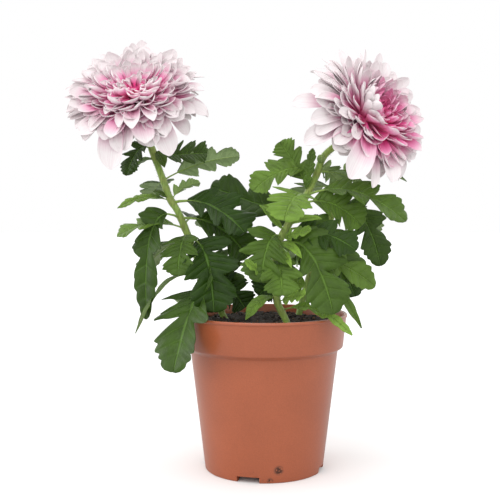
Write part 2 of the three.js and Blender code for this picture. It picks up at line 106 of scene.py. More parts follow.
# Crumbs and fibres lie as far out as `spread`, a share of the soil's radius. `lift` is how far above
# the soil's top their middles are: a share of a crumb's own radius, and millimetres for a fibre.
CRUMBS = {"count": 420, "spread": 0.97, "radius": (0.4, 1.5), "unevenness": (0.7, 1.15),
          "flatness": 0.75, "lift": 0.2, "tone": 0.6, "pale_share": 0.1}
FIBRES = {"count": 60, "spread": 0.9, "step": 1.5, "curl": 0.3, "lift": (0.5, 1.0),
          "radii": (0.12, 0.2, 0.22, 0.18, 0.08), "sides": 4, "tone": (0.3, 0.9)}

# ---- the blooms ----

# Petals by rank, from the innermost (0) to the outermost (1). `start` and `end` are the slopes where
# the petal leaves the core and towards its tip, `hook` is the last bend of its tip and `roll` how far
# its sides curl up, all in degrees, with slopes measured off the bloom's axis. `fade` says how soon
# the colour of its foot is lost, and `least` how much of it is kept at the tip.
PetalRow = namedtuple("PetalRow",
                      "rank root_angle start end hook reach half roll_foot roll_tip fade least")
PETAL_ROWS = [
    PetalRow(0.00, 8, 4, -20, -50, 8, 1.9, 130, 110, 0.3, 0.85),
    PetalRow(0.12, 28, 16, 2, -60, 13, 2.9, 120, 100, 0.4, 0.6),
    PetalRow(0.32, 52, 38, 36, -55, 23, 4.8, 80, 55, 0.55, 0.22),
    PetalRow(0.60, 80, 54, 74, -35, 34, 5.8, 70, 40, 0.8, 0),
    PetalRow(1.00, 112, 72, 118, 10, 42, 7.0, 60, 30, 0.8, 0),
]
REACH_RANGE = (0.72, 1.08)               # a petal's reach, as a share of its row's
ROLL_RANGE = (0.6, 1.3)                  # the same for the roll at its tip
BREADTH_RANGE = (0.75, 1.15)             # and for its breadth
SCATTER = {"turn": 12, "start": 6, "end": 13, "hook": 38}       # most degrees that it is off its row
SWAY = 0.18                              # most that its tip sways aside, as a share of its reach
TWIST = 0.5                              # most that it is twisted there, in radians
GROOVE = (0.03, 0.05)                    # its grooves' depth: a share of `half`, and a part to add
TONE_BEND = 1.6                          # above 1, a petal's colour is lost sooner near its foot
# A showy petal hangs out of the rows to a tip of its own: `start` is its slope at the foot.
ShowyPetal = namedtuple("ShowyPetal", "tip start half roll_tip")
SHOWY = {"root_angle": 100, "roll_foot": 100, "most": 0.9, "looseness": 0.2}
# The petals draw apart round the direction `parting`, within `parting_width` degrees across and up,
# where short ones leave their deep feet bare and pale tongues stand out between them. `crowding` is
# lower where fewer of the petals are inner ones. `size` scales the petals' reach, and `blushing` how
# far their deep colour spreads. `opening` is how many degrees the innermost petals are folded out,
# which grow broader then, and `heart` is 1 where they stay deep in colour and 0 where they are as
# pale as the others.
Bloom = namedtuple(
    "Bloom", "at axis parting parting_width crowding size blushing opening heart showy seed")
PARTING_PUSH = 18.0                      # how many degrees the petals give way
PARTING_SHORTER = 0.4                    # how much shorter they are in the parting
PARTING_DEEPER = 0.42                    # and how much more of their deep colour they keep
LOWER_DEEPER = 0.6                       # the same on a bloom's lower side; its upper side is paler
TONGUES = 0.48                           # the share of pale tongues in a parting
TONGUE_FADE = 2.2
TONGUE_BREADTH = 0.8
LEFT_BLOOM = Bloom(
    at=(-88, -16, 256.5),
    axis=(-0.08, -0.62, 0.78),
    parting=(-0.03, -0.75, 0.66),
    parting_width=(52, 24),
    crowding=0.62,
    size=1.0,
    blushing=1.0,
    opening=45,
    heart=0.05,
    showy=[
        ((-104, -44, 214), 58, 10.5, 30),
        ((-64, -44, 223), 62, 9.6, 40),
        ((-52.6, -32, 238.1), 80, 7, 50),
        ((-39.5, -20, 250.8), 70, 7, 60),
        ((-137.8, -22, 254.7), 80, 9.5, 50),
        ((-123.9, -34, 234.5), 85, 8.5, 60),
        ((-83.1, -50, 234.6), 80, 7.6, 70),
        ((-86.5, -60, 240), 50, 7, 60),
        ((-97, -57, 241), 48, 5, 80),
        ((-74, -58, 245), 45, 6, 60),
        ((-115, -50, 239), 52, 6.5, 60),
        ((-60, -50, 249), 45, 6, 60),
        ((-106, -55, 250), 40, 4.5, 70),
    ],
    seed=11,
)
RIGHT_BLOOM = Bloom(
    at=(66, -9, 246.5),
    axis=(0.56, -0.64, 0.52),
    parting=(-0.12, -1, 0.05),
    parting_width=(24, 28),
    crowding=0.85,
    size=1.03,
    blushing=0.85,
    opening=0,
    heart=1,
    showy=[
        ((54.5, -52, 208.5), 58, 10.5, 35),
        ((26.5, -42, 231), 80, 9, 60),
        ((18.5, -30, 257.9), 85, 8.5, 40),
        ((72, -45, 201.7), 80, 5, 60),
        ((84.3, -42, 205.8), 70, 9.5, 30),
        ((94, -34, 216.9), 75, 8, 50),
        ((33, 4, 286), 75, 8, 60),
    ],
    seed=23,
)
CORE_RADIUS = 11.0
CORE_HEIGHT = 18.0
CORE_SIDES = 32
OPENED_BREADTH = 0.015                   # how much broader a petal grows for each degree of opening
PALE_FADE = 0.95                         # the `fade` of a pale heart's petals
PALE_BACK = 0.4                          # the depth of colour at the foot of the outermost petals
BACK_RANKS = (0.72, 0.95)                # between these ranks it falls to that
# On a bloom's lower side a petal sags by so many degrees, at its foot and towards its tip, and its
# reach and breadth change by these shares. On the upper side all four turn round.
SAG_START = 8.0
SAG_END = 16.0
SAG_REACH = -0.08
SAG_BREADTH = 0.25
PETAL_FOOT = 0.34                        # width at the foot, as a share of the widest
PETAL_WIDEST = 0.77                      # where along it a petal is widest
PETAL_ACROSS = 8
PETAL_ALONG = 12
TIP_CROWDING = 1.45                      # above 1, the grid of a petal is finer towards its tip
SPINE_STEPS = 40

# ---- the shoots ----

STEM_RADIUS = 2.4
STEM_FOOT = 90.0
STEM_STEPS = 90
STEM_SIDES = 32
STEM_RIBS = {"ribs": 8, "rib_depth": 0.12}
# How much thicker and redder a stem is where a leaf leaves it, and how far along that reaches.
NODE = {"swelling": 0.35, "swelling_reach": 1.8, "tone": 0.22, "tone_reach": 1.6}
HAIRS = {"count": 700, "length": (0.5, 1.3), "lean": (-0.1, 0.35), "radius": 0.06}
CALYX_HEIGHT = 9.0
CALYX_RADIUS = 6.4
CALYX_SIDES = 24
# Rows of bracts on a calyx: how many, the height and the radius of their feet, reach and half width.
CALYX_ROWS = [(13, -6.5, 3.2, 6.5, 1.5), (17, -4.0, 5.0, 6.0, 1.6)]
CALYX_BRACT = {"thickness": 0.3, "tone": 0.35, "off_place": 0.15}
# The bracts of a bud climb it from one latitude to another, in degrees.
BUD_BRACT = {"count": 9, "thickness": 0.2, "tone": 0.7, "off_place": 0.2, "from": -70, "to": 62}
PETIOLE_RADIUS = 1.1
# A leaf's stalk runs on as a rib, `sunk` under the blade, to the share `end` of the leaf.
STALK = {"steps": 10, "end": 0.96, "sunk": 0.35, "thinnest": 0.16}
VEIN_ANGLE = math.radians(54)            # between a side vein and the midrib
KEEL_ANGLE = math.radians(16)            # how far each half of a blade is folded up

# A leaf leaves its stem at the height `start`, climbs at `rise` degrees and arches over to `tip`.
# `half` is half its width, `face` is where its upper side looks, `tone` is 0 on an old dark leaf and
# 1 on a young bright one, and its kind is lobed unless another is given. On a few leaves a higher
# tone is partly painted highlight: a pale sheen of light put into the leaf's colour.
Leaf = namedtuple("Leaf", "start tip rise half face tone kind", defaults=["lobed"])
Shoot = namedtuple("Shoot", "route bloom buds leaves seed")

LEFT_SHOOT = Shoot(
    route=[(-30, -6, 112), (-42, -6, 137), (-54, -6, 167), (-62, -6, 186), (-67.5, -5, 195),
           (-72, -4, 207), (-76.5, -2, 219), (-81, -3, 232), (-85, -7, 243.5)],
    bloom=LEFT_BLOOM,
    buds=[],
    leaves=[
        Leaf(230, (-97, -16, 211), 35, 10, (-3, -8, 6), 0.0),
        Leaf(223, (-92, -4, 218), 15, 4, (0, -4, 9), 0.4, "bract"),
        Leaf(227, (-71, -10, 217), 20, 4.5, (2, -8, 5), 0.3, "bract"),
        Leaf(225, (-41, -4, 227), 5, 14, (2, -7, 7), 0.1),
        Leaf(208, (-18, 8, 226), 32, 11, (-2, 9, 6), 0.2),
        Leaf(193, (-46, -12, 206), 70, 7, (-5, 6, 6), 0.7),
        Leaf(195, (-79, -10, 200), 30, 4, (0, -5, 8), 0.3, "bract"),
        Leaf(193, (-104, -12, 188), 25, 5.5, (0, -5, 8), 0.6, "narrow"),
        Leaf(173, (-104, -14, 168), 28, 13, (0, -3, 9), 0.4),
        Leaf(180, (-83, -18, 110), 35, 14, (-5, -8, 2), 0.1),
        Leaf(168, (-60, -32, 142), 15, 15, (-3, -9, 3), 0.2),
        Leaf(166, (-35, -36, 117), 5, 21, (1, -9, 3), 0.0),
        Leaf(139, (-90, -26, 101), 25, 6, (-5, 3, 8), 0.3, "narrow"),
        Leaf(124, (-62, -44, 77), 58, 28, (-7, -7, 2), 0.2),
        Leaf(192, (-14, -24, 171), 14, 21, (1, -6, 8), 0.0),
        Leaf(181, (-12, -8, 153), 5, 17, (0, -8, 5), 0.1),
        Leaf(150, (-22, 4, 128), 12, 16, (0, -8, 4), 0.1),
        Leaf(131, (-14, -8, 117), 25, 14, (0, -8, 5), 0.0),
        Leaf(202, (-86, 42, 196), 30, 13, (-2, 3, 9), 0.2),
        Leaf(176, (-40, 52, 168), 30, 14, (2, 4, 8), 0.1),
        Leaf(158, (-92, 34, 138), 30, 14, (-4, 4, 7), 0.1),
        Leaf(140, (-40, 50, 124), 30, 15, (1, 6, 6), 0.0),
    ],
    seed=3,
)
RIGHT_SHOOT = Shoot(
    route=[(14, -36, 112), (8.2, -36, 125), (7.5, -35, 139), (8.3, -33, 161), (17.4, -28, 179),
           (29, -20, 197), (35, -14, 208), (42.3, -8, 225), (50.5, -4.5, 232.5), (57, -1, 238)],
    bloom=RIGHT_BLOOM,
    buds=[(40, -11, 223, 2.6)],
    leaves=[
        Leaf(201, (11, -8, 235), 62, 11, (-4, -8, 4), 0.3),
        Leaf(196, (34, -16, 230), 80, 5, (-5, -8, 1), 0.3, "narrow"),
        Leaf(212, (56, 0, 203), 50, 9, (0, 8, 6), 0.4),
        # These two leaves carry a paler tone partly as painted highlight, for the grey-green sheen of light
        # on them.
        Leaf(213, (-8, -20, 200), 26, 15, (-2, -7, 7), 0.35),
        Leaf(196, (12, -62, 180), 18, 17, (0, -6, 8), 0.6),
        Leaf(178, (-1, -30, 190), 50, 4, (-3, -8, 5), 0.9, "bract"),
        Leaf(178, (13, -32, 188), 70, 4, (-3, -8, 5), 0.9, "bract"),
        Leaf(197, (95, -40, 179), 24, 15, (1, -6, 8), 0.15),
        Leaf(213, (82, -8, 188), 14, 7, (2, 3, 9), 0.2, "narrow"),
        Leaf(191, (67, -24, 176), 22, 15, (0, -9, 4), 0.3),
        Leaf(168, (61, -46, 160), 28, 14, (1, -9, 5), 0.1),
        Leaf(162, (45, -54, 118), 32, 21, (2, -9, 3), 0.1),
        Leaf(172, (66, -26, 134), 25, 15, (3, -9, 3), 0.2),
        Leaf(150, (76, -30, 134), 25, 13, (2, -9, 4), 0.45),
        Leaf(146, (66, -36, 106), 40, 6, (2, -8, 5), 0.2, "narrow"),
        Leaf(118, (58, -50, 103), 25, 6, (1, -6, 8), 0.85, "narrow"),
        Leaf(127, (-13, -46, 113), 15, 6, (0, -4, 9), 0.5, "bract"),
        Leaf(168, (-3, -52, 139), 30, 18, (-2, -9, 3), 0.1),
        Leaf(151, (11, -62, 131), 20, 15, (0, -9, 4), 0.2),
        Leaf(136, (-14, -60, 154), 30, 5, (0, -8, 5), 0.95, "narrow"),
        Leaf(131, (27, -46, 137), 30, 8, (0, -8, 5), 0.9, "bract"),
        Leaf(172, (-4, -54, 190), 40, 3.5, (-3, -8, 5), 1.0, "bract"),
        Leaf(165, (30, -52, 173), 30, 6, (2, -8, 5), 0.9),
        Leaf(163, (24, -54, 155), 15, 3.5, (0, -8, 5), 1.0, "bract"),
        Leaf(160, (17, -58, 149), 5, 3, (-2, -8, 5), 0.95, "bract"),
        Leaf(124, (26, -58, 131), 20, 7, (1, -8, 5), 0.95),
        Leaf(176, (38, -46, 181), 30, 3, (1, -8, 5), 0.95, "bract"),
    ],
    seed=7,
)
BACK_SHOOT = Shoot(
    route=[(27, 18, 112), (31, 20, 127), (41, 22, 157), (52, 22, 187), (57, 20, 205), (62, 16, 218)],
    bloom=None,
    buds=[(62, 16, 218, 3.2)],
    leaves=[
        Leaf(216, (107, 26, 208), 25, 5, (0, 2, 9), 0.2, "narrow"),
        Leaf(187, (85, 6, 146), 30, 15, (1, -9, 5), 0.1),
        Leaf(178, (-39, 12, 204), 10, 19, (-1, -8, 6), 0.0),
        Leaf(140, (-4, 10, 124), 10, 15, (0, -8, 4), 0.0),
        Leaf(150, (66, 2, 124), 15, 15, (2, -8, 4), 0.1),
        Leaf(200, (26, 58, 196), 30, 14, (-1, 4, 8), 0.2),
        Leaf(182, (88, 54, 168), 30, 15, (3, 4, 8), 0.1),
        Leaf(160, (12, 62, 142), 30, 15, (-2, 5, 7), 0.1),
        Leaf(136, (64, 56, 122), 35, 15, (2, 5, 7), 0.0),
    ],
    seed=11,
)

# A blade's half width from its foot (0) to its tip (1), as shares of `half`, with the clefts between
# its lobes and the small cuts between its teeth, each as its place, its depth and its breadth.
# `petiole` is the stalk's share of the leaf, and `grid` how many faces a blade has across and along.
LEAF_KINDS = {
    "lobed": {
        "petiole": 0.2,
        "grid": (8, 96),
        "envelope": [(0, 0.13), (0.04, 0.46), (0.09, 0.8), (0.18, 1), (0.46, 1), (0.56, 0.97),
                     (0.72, 0.87), (0.8, 0.77), (0.88, 0.6), (0.94, 0.42), (0.98, 0.24), (1, 0.05)],
        "clefts": [(0.29, 0.78, 0.12), (0.59, 0.72, 0.11)],
        "teeth": [(0.1, 0.16, 0.045), (0.2, 0.1, 0.035), (0.42, 0.16, 0.045), (0.5, 0.1, 0.035),
                  (0.72, 0.2, 0.05), (0.82, 0.18, 0.045), (0.91, 0.2, 0.04)],
    },
    "narrow": {
        "petiole": 0.16,
        "grid": (8, 96),
        "envelope": [(0, 0.13), (0.1, 0.6), (0.2, 0.85), (0.5, 1), (0.64, 0.92), (0.78, 0.76),
                     (0.9, 0.5), (1, 0.05)],
        "clefts": [(0.28, 0.6, 0.12), (0.6, 0.56, 0.12)],
        "teeth": [(0.14, 0.14, 0.05), (0.44, 0.18, 0.06), (0.78, 0.24, 0.06), (0.9, 0.2, 0.05)],
    },
    "bract": {
        "petiole": 0.12,
        "grid": (4, 12),
        "envelope": [(0, 0.3), (0.2, 0.75), (0.4, 1), (0.7, 0.75), (0.88, 0.4), (1, 0.06)],
        "clefts": [],
        "teeth": [],
    },
}
CLEFT_SIDES = 0.8                        # 1 gives a cut straight sides, and less closes it to a
TOOTH_SIDES = 0.6                        # slit between round lobes or teeth
UNEVEN = {"shift": 0.025, "place": 0.015, "depth": (0.75, 1.12), "breadth": (0.8, 1.25)}
USUAL_HALF = 18                          # half width of a leaf that waves and swells in full
MARGIN_WAVES = 2.3
DROOP_RANGE = (0.08, 0.24)               # how far the sides of a blade hang, as a share of its half
QUILTING = 0.55                          # how far a leaf swells between its side veins
TONE_SPREAD = 0.12
# Where side veins leave the midrib, and how strongly each shows.
VEINS = [(0.035, 0.4), (0.11, 1), (0.2, 0.6), (0.35, 0.5), (0.44, 1), (0.53, 0.6), (0.69, 0.8),
         (0.8, 0.6), (0.89, 0.4)]
VEIN_BREADTH = 0.014

UPPER, LOWER, STALK_GREEN = 0, 1, 2      # material places on a shoot; a bloom has the first two

# ---- the stage, in metres ----

FLOOR_RADIUS = 6
SENSOR_WIDTH = 36                        # of the camera, in millimetres
NEAREST_SEEN = 0.01
SURROUNDINGS = 1.12                      # how bright they are, while the camera sees them as 1
# Soft suns: where each stands, the spread of its light in degrees, and its strength.
SUNS = [("key", (-0.6, -0.8, 1.0), 40, 0.5), ("top", (0.15, 0.2, 1.0), 120, 0.2),
        ("fill", (0.1, -1.0, 0.1), 50, 0.5), ("side", (-1.0, 0.15, 0.15), 30, 0.7)]


def lerp(a, b, share):
    return a + (b - a) * share


def smooth(low, high, value):
    """0 below `low`, 1 above `high`, and an even bend between them."""
    share = min(max((value - low) / (high - low), 0), 1)
    return share * share * (3 - 2 * share)


def along(table, share):
    """The value at `share` in a list of (share, value) stops."""
    for (low, first), (high, second) in zip(table, table[1:]):
        if share <= high:
            return lerp(first, second, (share - low) / (high - low))
    return table[-1][1]


def linear(red, green, blue):
    """A colour of 0 to 255 on screen, as the linear values that a shader takes."""
    values = [channel / 255 for channel in (red, green, blue)]
    return [v / 12.92 if v <= 0.04045 else ((v + 0.055) / 1.055) ** 2.4 for v in values] + [1.0]


# ---- settings ----

def length(name, description, millimetres):
    return FloatProperty(name=name, description=description, default=millimetres * MM,
                         unit="LENGTH", min=0, precision=5)


def colour(name, description, red, green, blue):
    return FloatVectorProperty(name=name, description=description, subtype="COLOR", size=4, min=0,
                               max=1, default=linear(red, green, blue))


class PotSettings(bpy.types.PropertyGroup):
    height: length("Height", "From the foot to the lip", 112.5)
    rim_radius: length("Rim radius", "Outer radius at the lip's bead", 60)
    wall: length("Wall", "Thickness of the moulded wall", 1.5)
    plastic: colour("Plastic", "The pot's main colour", 170, 90, 57)
    soil: colour("Soil", "Colour of the moist soil", 44, 33, 25)


class LeafSettings(bpy.types.PropertyGroup):
    blade: length("Blade", "Thickness of a leaf", 0.5)
    wave: length("Wave", "How far a leaf's margin waves", 1.3)
    old_green: colour("Old leaves", "Upper side of an old leaf", 34, 60, 2)
    young_green: colour("Young leaves", "Upper side of a young leaf", 130, 166, 64)
    underside: colour("Underside", "Lower side of a leaf", 140, 163, 112)
    stem: colour("Stem", "Colour of the stems", 132, 160, 70)


class BloomSettings(bpy.types.PropertyGroup):
    petals: IntProperty(name="Petals", description="Petals in each bloom", default=300, min=20, max=400)
    petal: length("Petal", "Thickness of a petal", 0.12)
    throat: colour("Throat", "Deepest colour, at a petal's foot", 234, 80, 154)
    blush: colour("Blush", "Colour between the foot and the tip", 240, 156, 196)
    tip: colour("Tip", "Colour at a petal's tip", 243, 237, 237)
    vein: colour("Veins", "Colour of the fine lines along a petal", 214, 178, 196)


class StageSettings(bpy.types.PropertyGroup):
    lens: FloatProperty(name="Lens", description="Focal length of the camera, in millimetres",
                        default=63.8, min=10, max=300)
    eye: FloatVectorProperty(name="Camera", description="Where the camera stands", size=3,
                             subtype="TRANSLATION", unit="LENGTH", default=(-0.01026, -0.64, 0.18866))
    pitch: FloatProperty(name="Pitch", description="How far the camera looks down", default=0.048,
                         subtype="ANGLE", unit="ROTATION")


# ---- modelling ----

def as_mesh(name, bm):
    """Turns a bmesh into a mesh, and frees it."""
    mesh = bpy.data.meshes.new(name)
    bm.to_mesh(mesh)
    bm.free()
    return mesh


def add_object(name, data):
    item = bpy.data.objects.new(name, data)
    bpy.context.scene.collection.objects.link(item)
    return item


def finish_piece(name, bm, materials, slot, *nodes):
    """Turns a mesh in millimetres into a finished piece in metres."""
    bmesh.ops.scale(bm, vec=(MM, MM, MM), verts=bm.verts)
    piece = add_object(name, as_mesh(name, bm))
    for material in materials:
        piece.data.materials.append(material)
    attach(piece, "root")
    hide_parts(*nodes)


def join(target, part):
    """Adds a finished part to a bmesh. A layer that the target lacks is left out."""
    mesh = as_mesh("part", part)
    target.from_mesh(mesh)
    bpy.data.meshes.remove(mesh)


def with_layers(bm):
    """Gives a bmesh the layers that every part of the plant has."""
    bm.loops.layers.uv.new("UVMap")
    bm.verts.layers.float.new("tone")
    return bm


def joined(parts):
    """One bmesh of all the parts of a piece of the plant."""
    whole = with_layers(bmesh.new())
    for part in parts:
        join(whole, part)
    return whole


def set_tone(bm, tone):
    """Gives each vertex its tone, which is one value for all or a function of the vertex's place."""
    layer = bm.verts.layers.float["tone"]
    for vert in bm.verts:
        vert[layer] = tone(vert.co) if callable(tone) else tone


def all_smooth(bm, material_place=UPPER):
    """Smooth shading and one material all over."""
    for face in bm.faces:
        face.smooth = True
        face.material_index = material_place
    return bm


def faces_of(geometry):
    return [item for item in geometry if isinstance(item, bmesh.types.BMFace)]


def verts_of(geometry):
    return [item for item in geometry if isinstance(item, bmesh.types.BMVert)]


def upright_to(direction):
    """The turn from straight up to a direction, as a 4 by 4 matrix."""
    return UP.rotation_difference(direction).to_matrix().to_4x4()


def jitter(chance, most):
    """A random amount of up to `most` either way."""
    return chance.uniform(-most, most)


def path_frames(points):
    """A frame at each point of a path, turned as little as can be from one to the next."""
    frames = []
    side = Vector((1, 0, 0))
    for i, point in enumerate(points):
        ahead = (points[min(i + 1, len(points) - 1)] - points[max(i - 1, 0)]).normalized()
        side = (side - ahead * side.dot(ahead)).normalized()
        turn = Matrix((side, ahead.cross(side), ahead)).transposed().to_4x4()
        frames.append(Matrix.Translation(point) @ turn)
    return frames


def tube(points, radii, sides, ribs=0, rib_depth=0.0):
    """A closed tube through points, with lengthwise ribs round it."""
    bm = with_layers(bmesh.new())
    ring = bmesh.ops.create_circle(bm, cap_ends=True, segments=sides, radius=1)["verts"]
    if ribs:
        for vert in ring:
            turn = math.atan2(vert.co.y, vert.co.x)
            vert.co *= 1 - rib_depth * (0.5 - 0.5 * math.cos(ribs * turn))
    places = [frame @ Matrix.Scale(radius, 4) for frame, radius in zip(path_frames(points), radii)]
    bmesh.ops.transform(bm, matrix=places[0], verts=ring)
    end = bm.faces[:]
    for step, (last, place) in enumerate(zip(places, places[1:])):
        made = bmesh.ops.extrude_face_region(bm, geom=end, use_keep_orig=True)["geom"]
        if step:
            bmesh.ops.delete(bm, geom=end, context="FACES_ONLY")
        end = faces_of(made)
        bmesh.ops.transform(bm, matrix=place @ last.inverted(), verts=verts_of(made))
    bmesh.ops.recalc_face_normals(bm, faces=bm.faces)
    return bm


def blade_sheet(place, across, ahead, thickness):
    """A thin closed sheet. `place(side, share)` puts each point of a grid, from side -1 to 1 and from
    foot 0 to tip 1. The lower side gets a material place of its own."""
    bm = with_layers(bmesh.new())
    bmesh.ops.create_grid(bm, x_segments=across, y_segments=ahead, size=1, calc_uvs=True)
    for vert in bm.verts:
        vert.co = place(vert.co.x, (vert.co.y + 1) / 2)
    bm.normal_update()
    upper = set(bm.faces)
    made = bmesh.ops.extrude_face_region(bm, geom=list(upper), use_keep_orig=True)["geom"]
    for vert in verts_of(made):
        vert.co -= vert.normal * thickness
    lower = set(faces_of(made))
    bmesh.ops.recalc_face_normals(bm, faces=bm.faces)
    for face in bm.faces:
        face.smooth = True
        face.material_index = LOWER if face in lower else UPPER
        if face not in upper and face not in lower:
            for edge in face.edges:
                edge.smooth = False
    return bm


def spun(profile, steps, rounding):
    """A solid of revolution about Z from (radius, height) points. Corners off the axis are rounded,
    and long stretches are split so that they shade evenly."""
    bm = bmesh.new()
    verts = [bm.verts.new((radius, 0, height)) for radius, height in profile]
    for first, second in zip(verts, verts[1:]):
        bm.edges.new((first, second))
    for vert, radius in zip(verts, rounding):
        if radius:
            bmesh.ops.bevel(bm, geom=[vert], offset=radius, offset_type="OFFSET", affect="VERTICES",
                            segments=4, profile=0.5, material=-1)
    for edge in bm.edges[:]:
        cuts = int(edge.calc_length() / LONGEST_STRETCH)
        if cuts:
            bmesh.ops.subdivide_edges(bm, edges=[edge], cuts=cuts)
    bmesh.ops.spin(bm, geom=bm.verts[:] + bm.edges[:], cent=(0, 0, 0), axis=(0, 0, 1),
                   angle=2 * math.pi, steps=steps, use_merge=True)
    bmesh.ops.remove_doubles(bm, verts=bm.verts, dist=1e-3)
    bmesh.ops.recalc_face_normals(bm, faces=bm.faces)
    return bm


def cut_away(*parts):
    """Cuts the second of two closed meshes out of the first."""
    body, cutter = (add_object("part", as_mesh("part", part)) for part in parts)
    modifier = body.modifiers.new("cut", "BOOLEAN")
    modifier.operation = "DIFFERENCE"
    modifier.solver = "EXACT"
    modifier.object = cutter
    result = bmesh.new()
    result.from_object(body, bpy.context.evaluated_depsgraph_get())
    for item in (body, cutter):
        mesh = item.data
        bpy.data.objects.remove(item)
        bpy.data.meshes.remove(mesh)
    return result


# ---- materials ----

def link_or_set(tree, socket, value):
    if isinstance(value, bpy.types.NodeSocket):
        tree.links.new(value, socket)
    else:
        socket.default_value = value


def add_node(tree, kind, inputs=None, **settings):
    """Adds a shader node. An input is a socket to link or a value to set."""
    node = tree.nodes.new(kind)
    for key, value in settings.items():
        setattr(node, key, value)
    for key, value in (inputs or {}).items():
        link_or_set(tree, node.inputs[key], value)
    return node


def calculate(tree, operation, first, second, clamp=False):
    node = add_node(tree, "ShaderNodeMath", {0: first, 1: second}, operation=operation, use_clamp=clamp)
    return node.outputs[0]


def times(tree, first, second):
    return calculate(tree, "MULTIPLY", first, second)


def span(tree, value, low, high, first=1.0, last=0.0):
    """`first` up to `low`, `last` from `high` on, and an even change between them."""
    inputs = {"Value": value, "From Min": low, "From Max": high, "To Min": first, "To Max": last}
    return add_node(tree, "ShaderNodeMapRange", inputs).outputs[0]


def ramp(tree, factor, stops):
    """A colour ramp through (position, colour) stops."""
    node = add_node(tree, "ShaderNodeValToRGB", {"Fac": factor})
    elements = node.color_ramp.elements
    while len(elements) < len(stops):
        elements.new(0.5)
    for element, (position, value) in zip(elements, stops):
        element.position = position
        element.color = value
    return node.outputs["Color"]


def grey(value):
    return (value, value, value, 1)


def grey_ramp(tree, factor, low, high, first=0.0, last=1.0):
    """Grey that goes from `first` at `low` to `last` at `high`."""
    return ramp(tree, factor, [(low, grey(first)), (high, grey(last))])


def brighter(colour, factor):
    """A colour with its channels scaled, and kept to 1 at most."""
    return [min(1, channel * factor) for channel in colour[:3]] + [1]


def mix(tree, factor, first, second, blend="MIX"):
    node = add_node(tree, "ShaderNodeMix", data_type="RGBA", blend_type=blend)
    for place, value in ((0, factor), (6, first), (7, second)):      # the colour sockets are 6 and 7
        link_or_set(tree, node.inputs[place], value)
    return node.outputs[2]


def noise_factor(tree, vector, scale, detail, roughness=0.55):
    inputs = {"Vector": vector, "Scale": scale, "Detail": detail, "Roughness": roughness}
    return add_node(tree, "ShaderNodeTexNoise", inputs).outputs["Fac"]


def stretched(tree, vector, *scale):
    return add_node(tree, "ShaderNodeMapping", {"Vector": vector, "Scale": scale}).outputs[0]


def axes(tree, vector):
    return add_node(tree, "ShaderNodeSeparateXYZ", {0: vector}).outputs


def tone_of(tree):
    """The tone that the vertices carry."""
    return add_node(tree, "ShaderNodeAttribute", attribute_name="tone").outputs["Fac"]


def new_material(name, **shader_values):
    """A node material; returns it with its tree, its shader and its sorts of coordinates."""
    material = bpy.data.materials.new(name)
    material.use_nodes = True
    tree = material.node_tree
    shader = tree.nodes["Principled BSDF"]
    for key, value in shader_values.items():
        shader.inputs[key.replace("_", " ")].default_value = value
    return material, tree, shader, tree.nodes.new("ShaderNodeTexCoord").outputs


def finish_material(material, tree, shader, coloured, height, distance):
    """Gives a material its colour, and its relief, which is `distance` metres deep."""
    inputs = {"Height": height, "Distance": distance, "Strength": 1.0}
    tree.links.new(coloured, shader.inputs["Base Color"])
    tree.links.new(add_node(tree, "ShaderNodeBump", inputs).outputs["Normal"], shader.inputs["Normal"])
    return material


def plastic_material(settings):
    """Moulded terracotta-coloured plastic: satin, faintly mottled, with a little soil near its foot."""
    material, tree, shader, coordinates = new_material(
        "terracotta_plastic", Coat_Weight=0.35, Coat_Roughness=0.2)
    place = coordinates["Object"]
    base = list(settings.plastic)
    mottled = ramp(tree, noise_factor(tree, place, 28, 4),
                   [(0.3, brighter(base, 0.94)), (0.5, base), (0.72, brighter(base, 1.06))])
    grain = noise_factor(tree, place, 1400, 2)
    speckled = mix(tree, 0.08, mottled, grey_ramp(tree, grain, 0.35, 0.65, 0.1, 0.9), "OVERLAY")
    low = span(tree, axes(tree, place)["Z"], 0.0, SPLASH_HEIGHT * MM)
    specks = grey_ramp(tree, noise_factor(tree, place, 330, 5, 0.7), 0.66, 0.72)
    dirt = calculate(tree, "MULTIPLY", low, specks, clamp=True)
    ragged = grey_ramp(tree, noise_factor(tree, place, 420, 3), 0.4, 0.48)
    for spot, radius in SMUDGES:
        away = add_node(tree, "ShaderNodeVectorMath", {0: place, 1: [c * MM for c in spot]},
                        operation="DISTANCE").outputs["Value"]
        near = span(tree, away, radius * 0.5 * MM, radius * MM)
        dirt = calculate(tree, "MAXIMUM", dirt, times(tree, near, ragged))
    coloured = mix(tree, times(tree, dirt, 0.9), speckled, linear(54, 36, 27))
    rough = span(tree, noise_factor(tree, place, 60, 3), 0.0, 1.0, 0.28, 0.4)
    tree.links.new(calculate(tree, "MAXIMUM", rough, dirt), shader.inputs["Roughness"])
    return finish_material(material, tree, shader, coloured, grain, 0.00004)


def soil_material(settings):
    """Moist potting soil, with paler fibres and dark wet grains."""
    material, tree, shader, coordinates = new_material("potting_soil", Roughness=0.88)
    place = coordinates["Object"]
    base = list(settings.soil)
    dark, light = brighter(base, 0.25), brighter(base, 2.6)
    coarse = noise_factor(tree, place, 240, 6, 0.7)
    grains = add_node(tree, "ShaderNodeTexVoronoi", {"Vector": place, "Scale": 700.0}).outputs["Distance"]
    coloured = ramp(tree, coarse, [(0.3, dark), (0.52, base), (0.75, light)])
    mixed = mix(tree, 0.35, coloured, ramp(tree, grains, [(0.0, light), (0.5, dark)]))
    coloured = mix(tree, tone_of(tree), mixed, linear(128, 98, 66))
    return finish_material(material, tree, shader, coloured, calculate(tree, "ADD", coarse, grains), 0.0006)


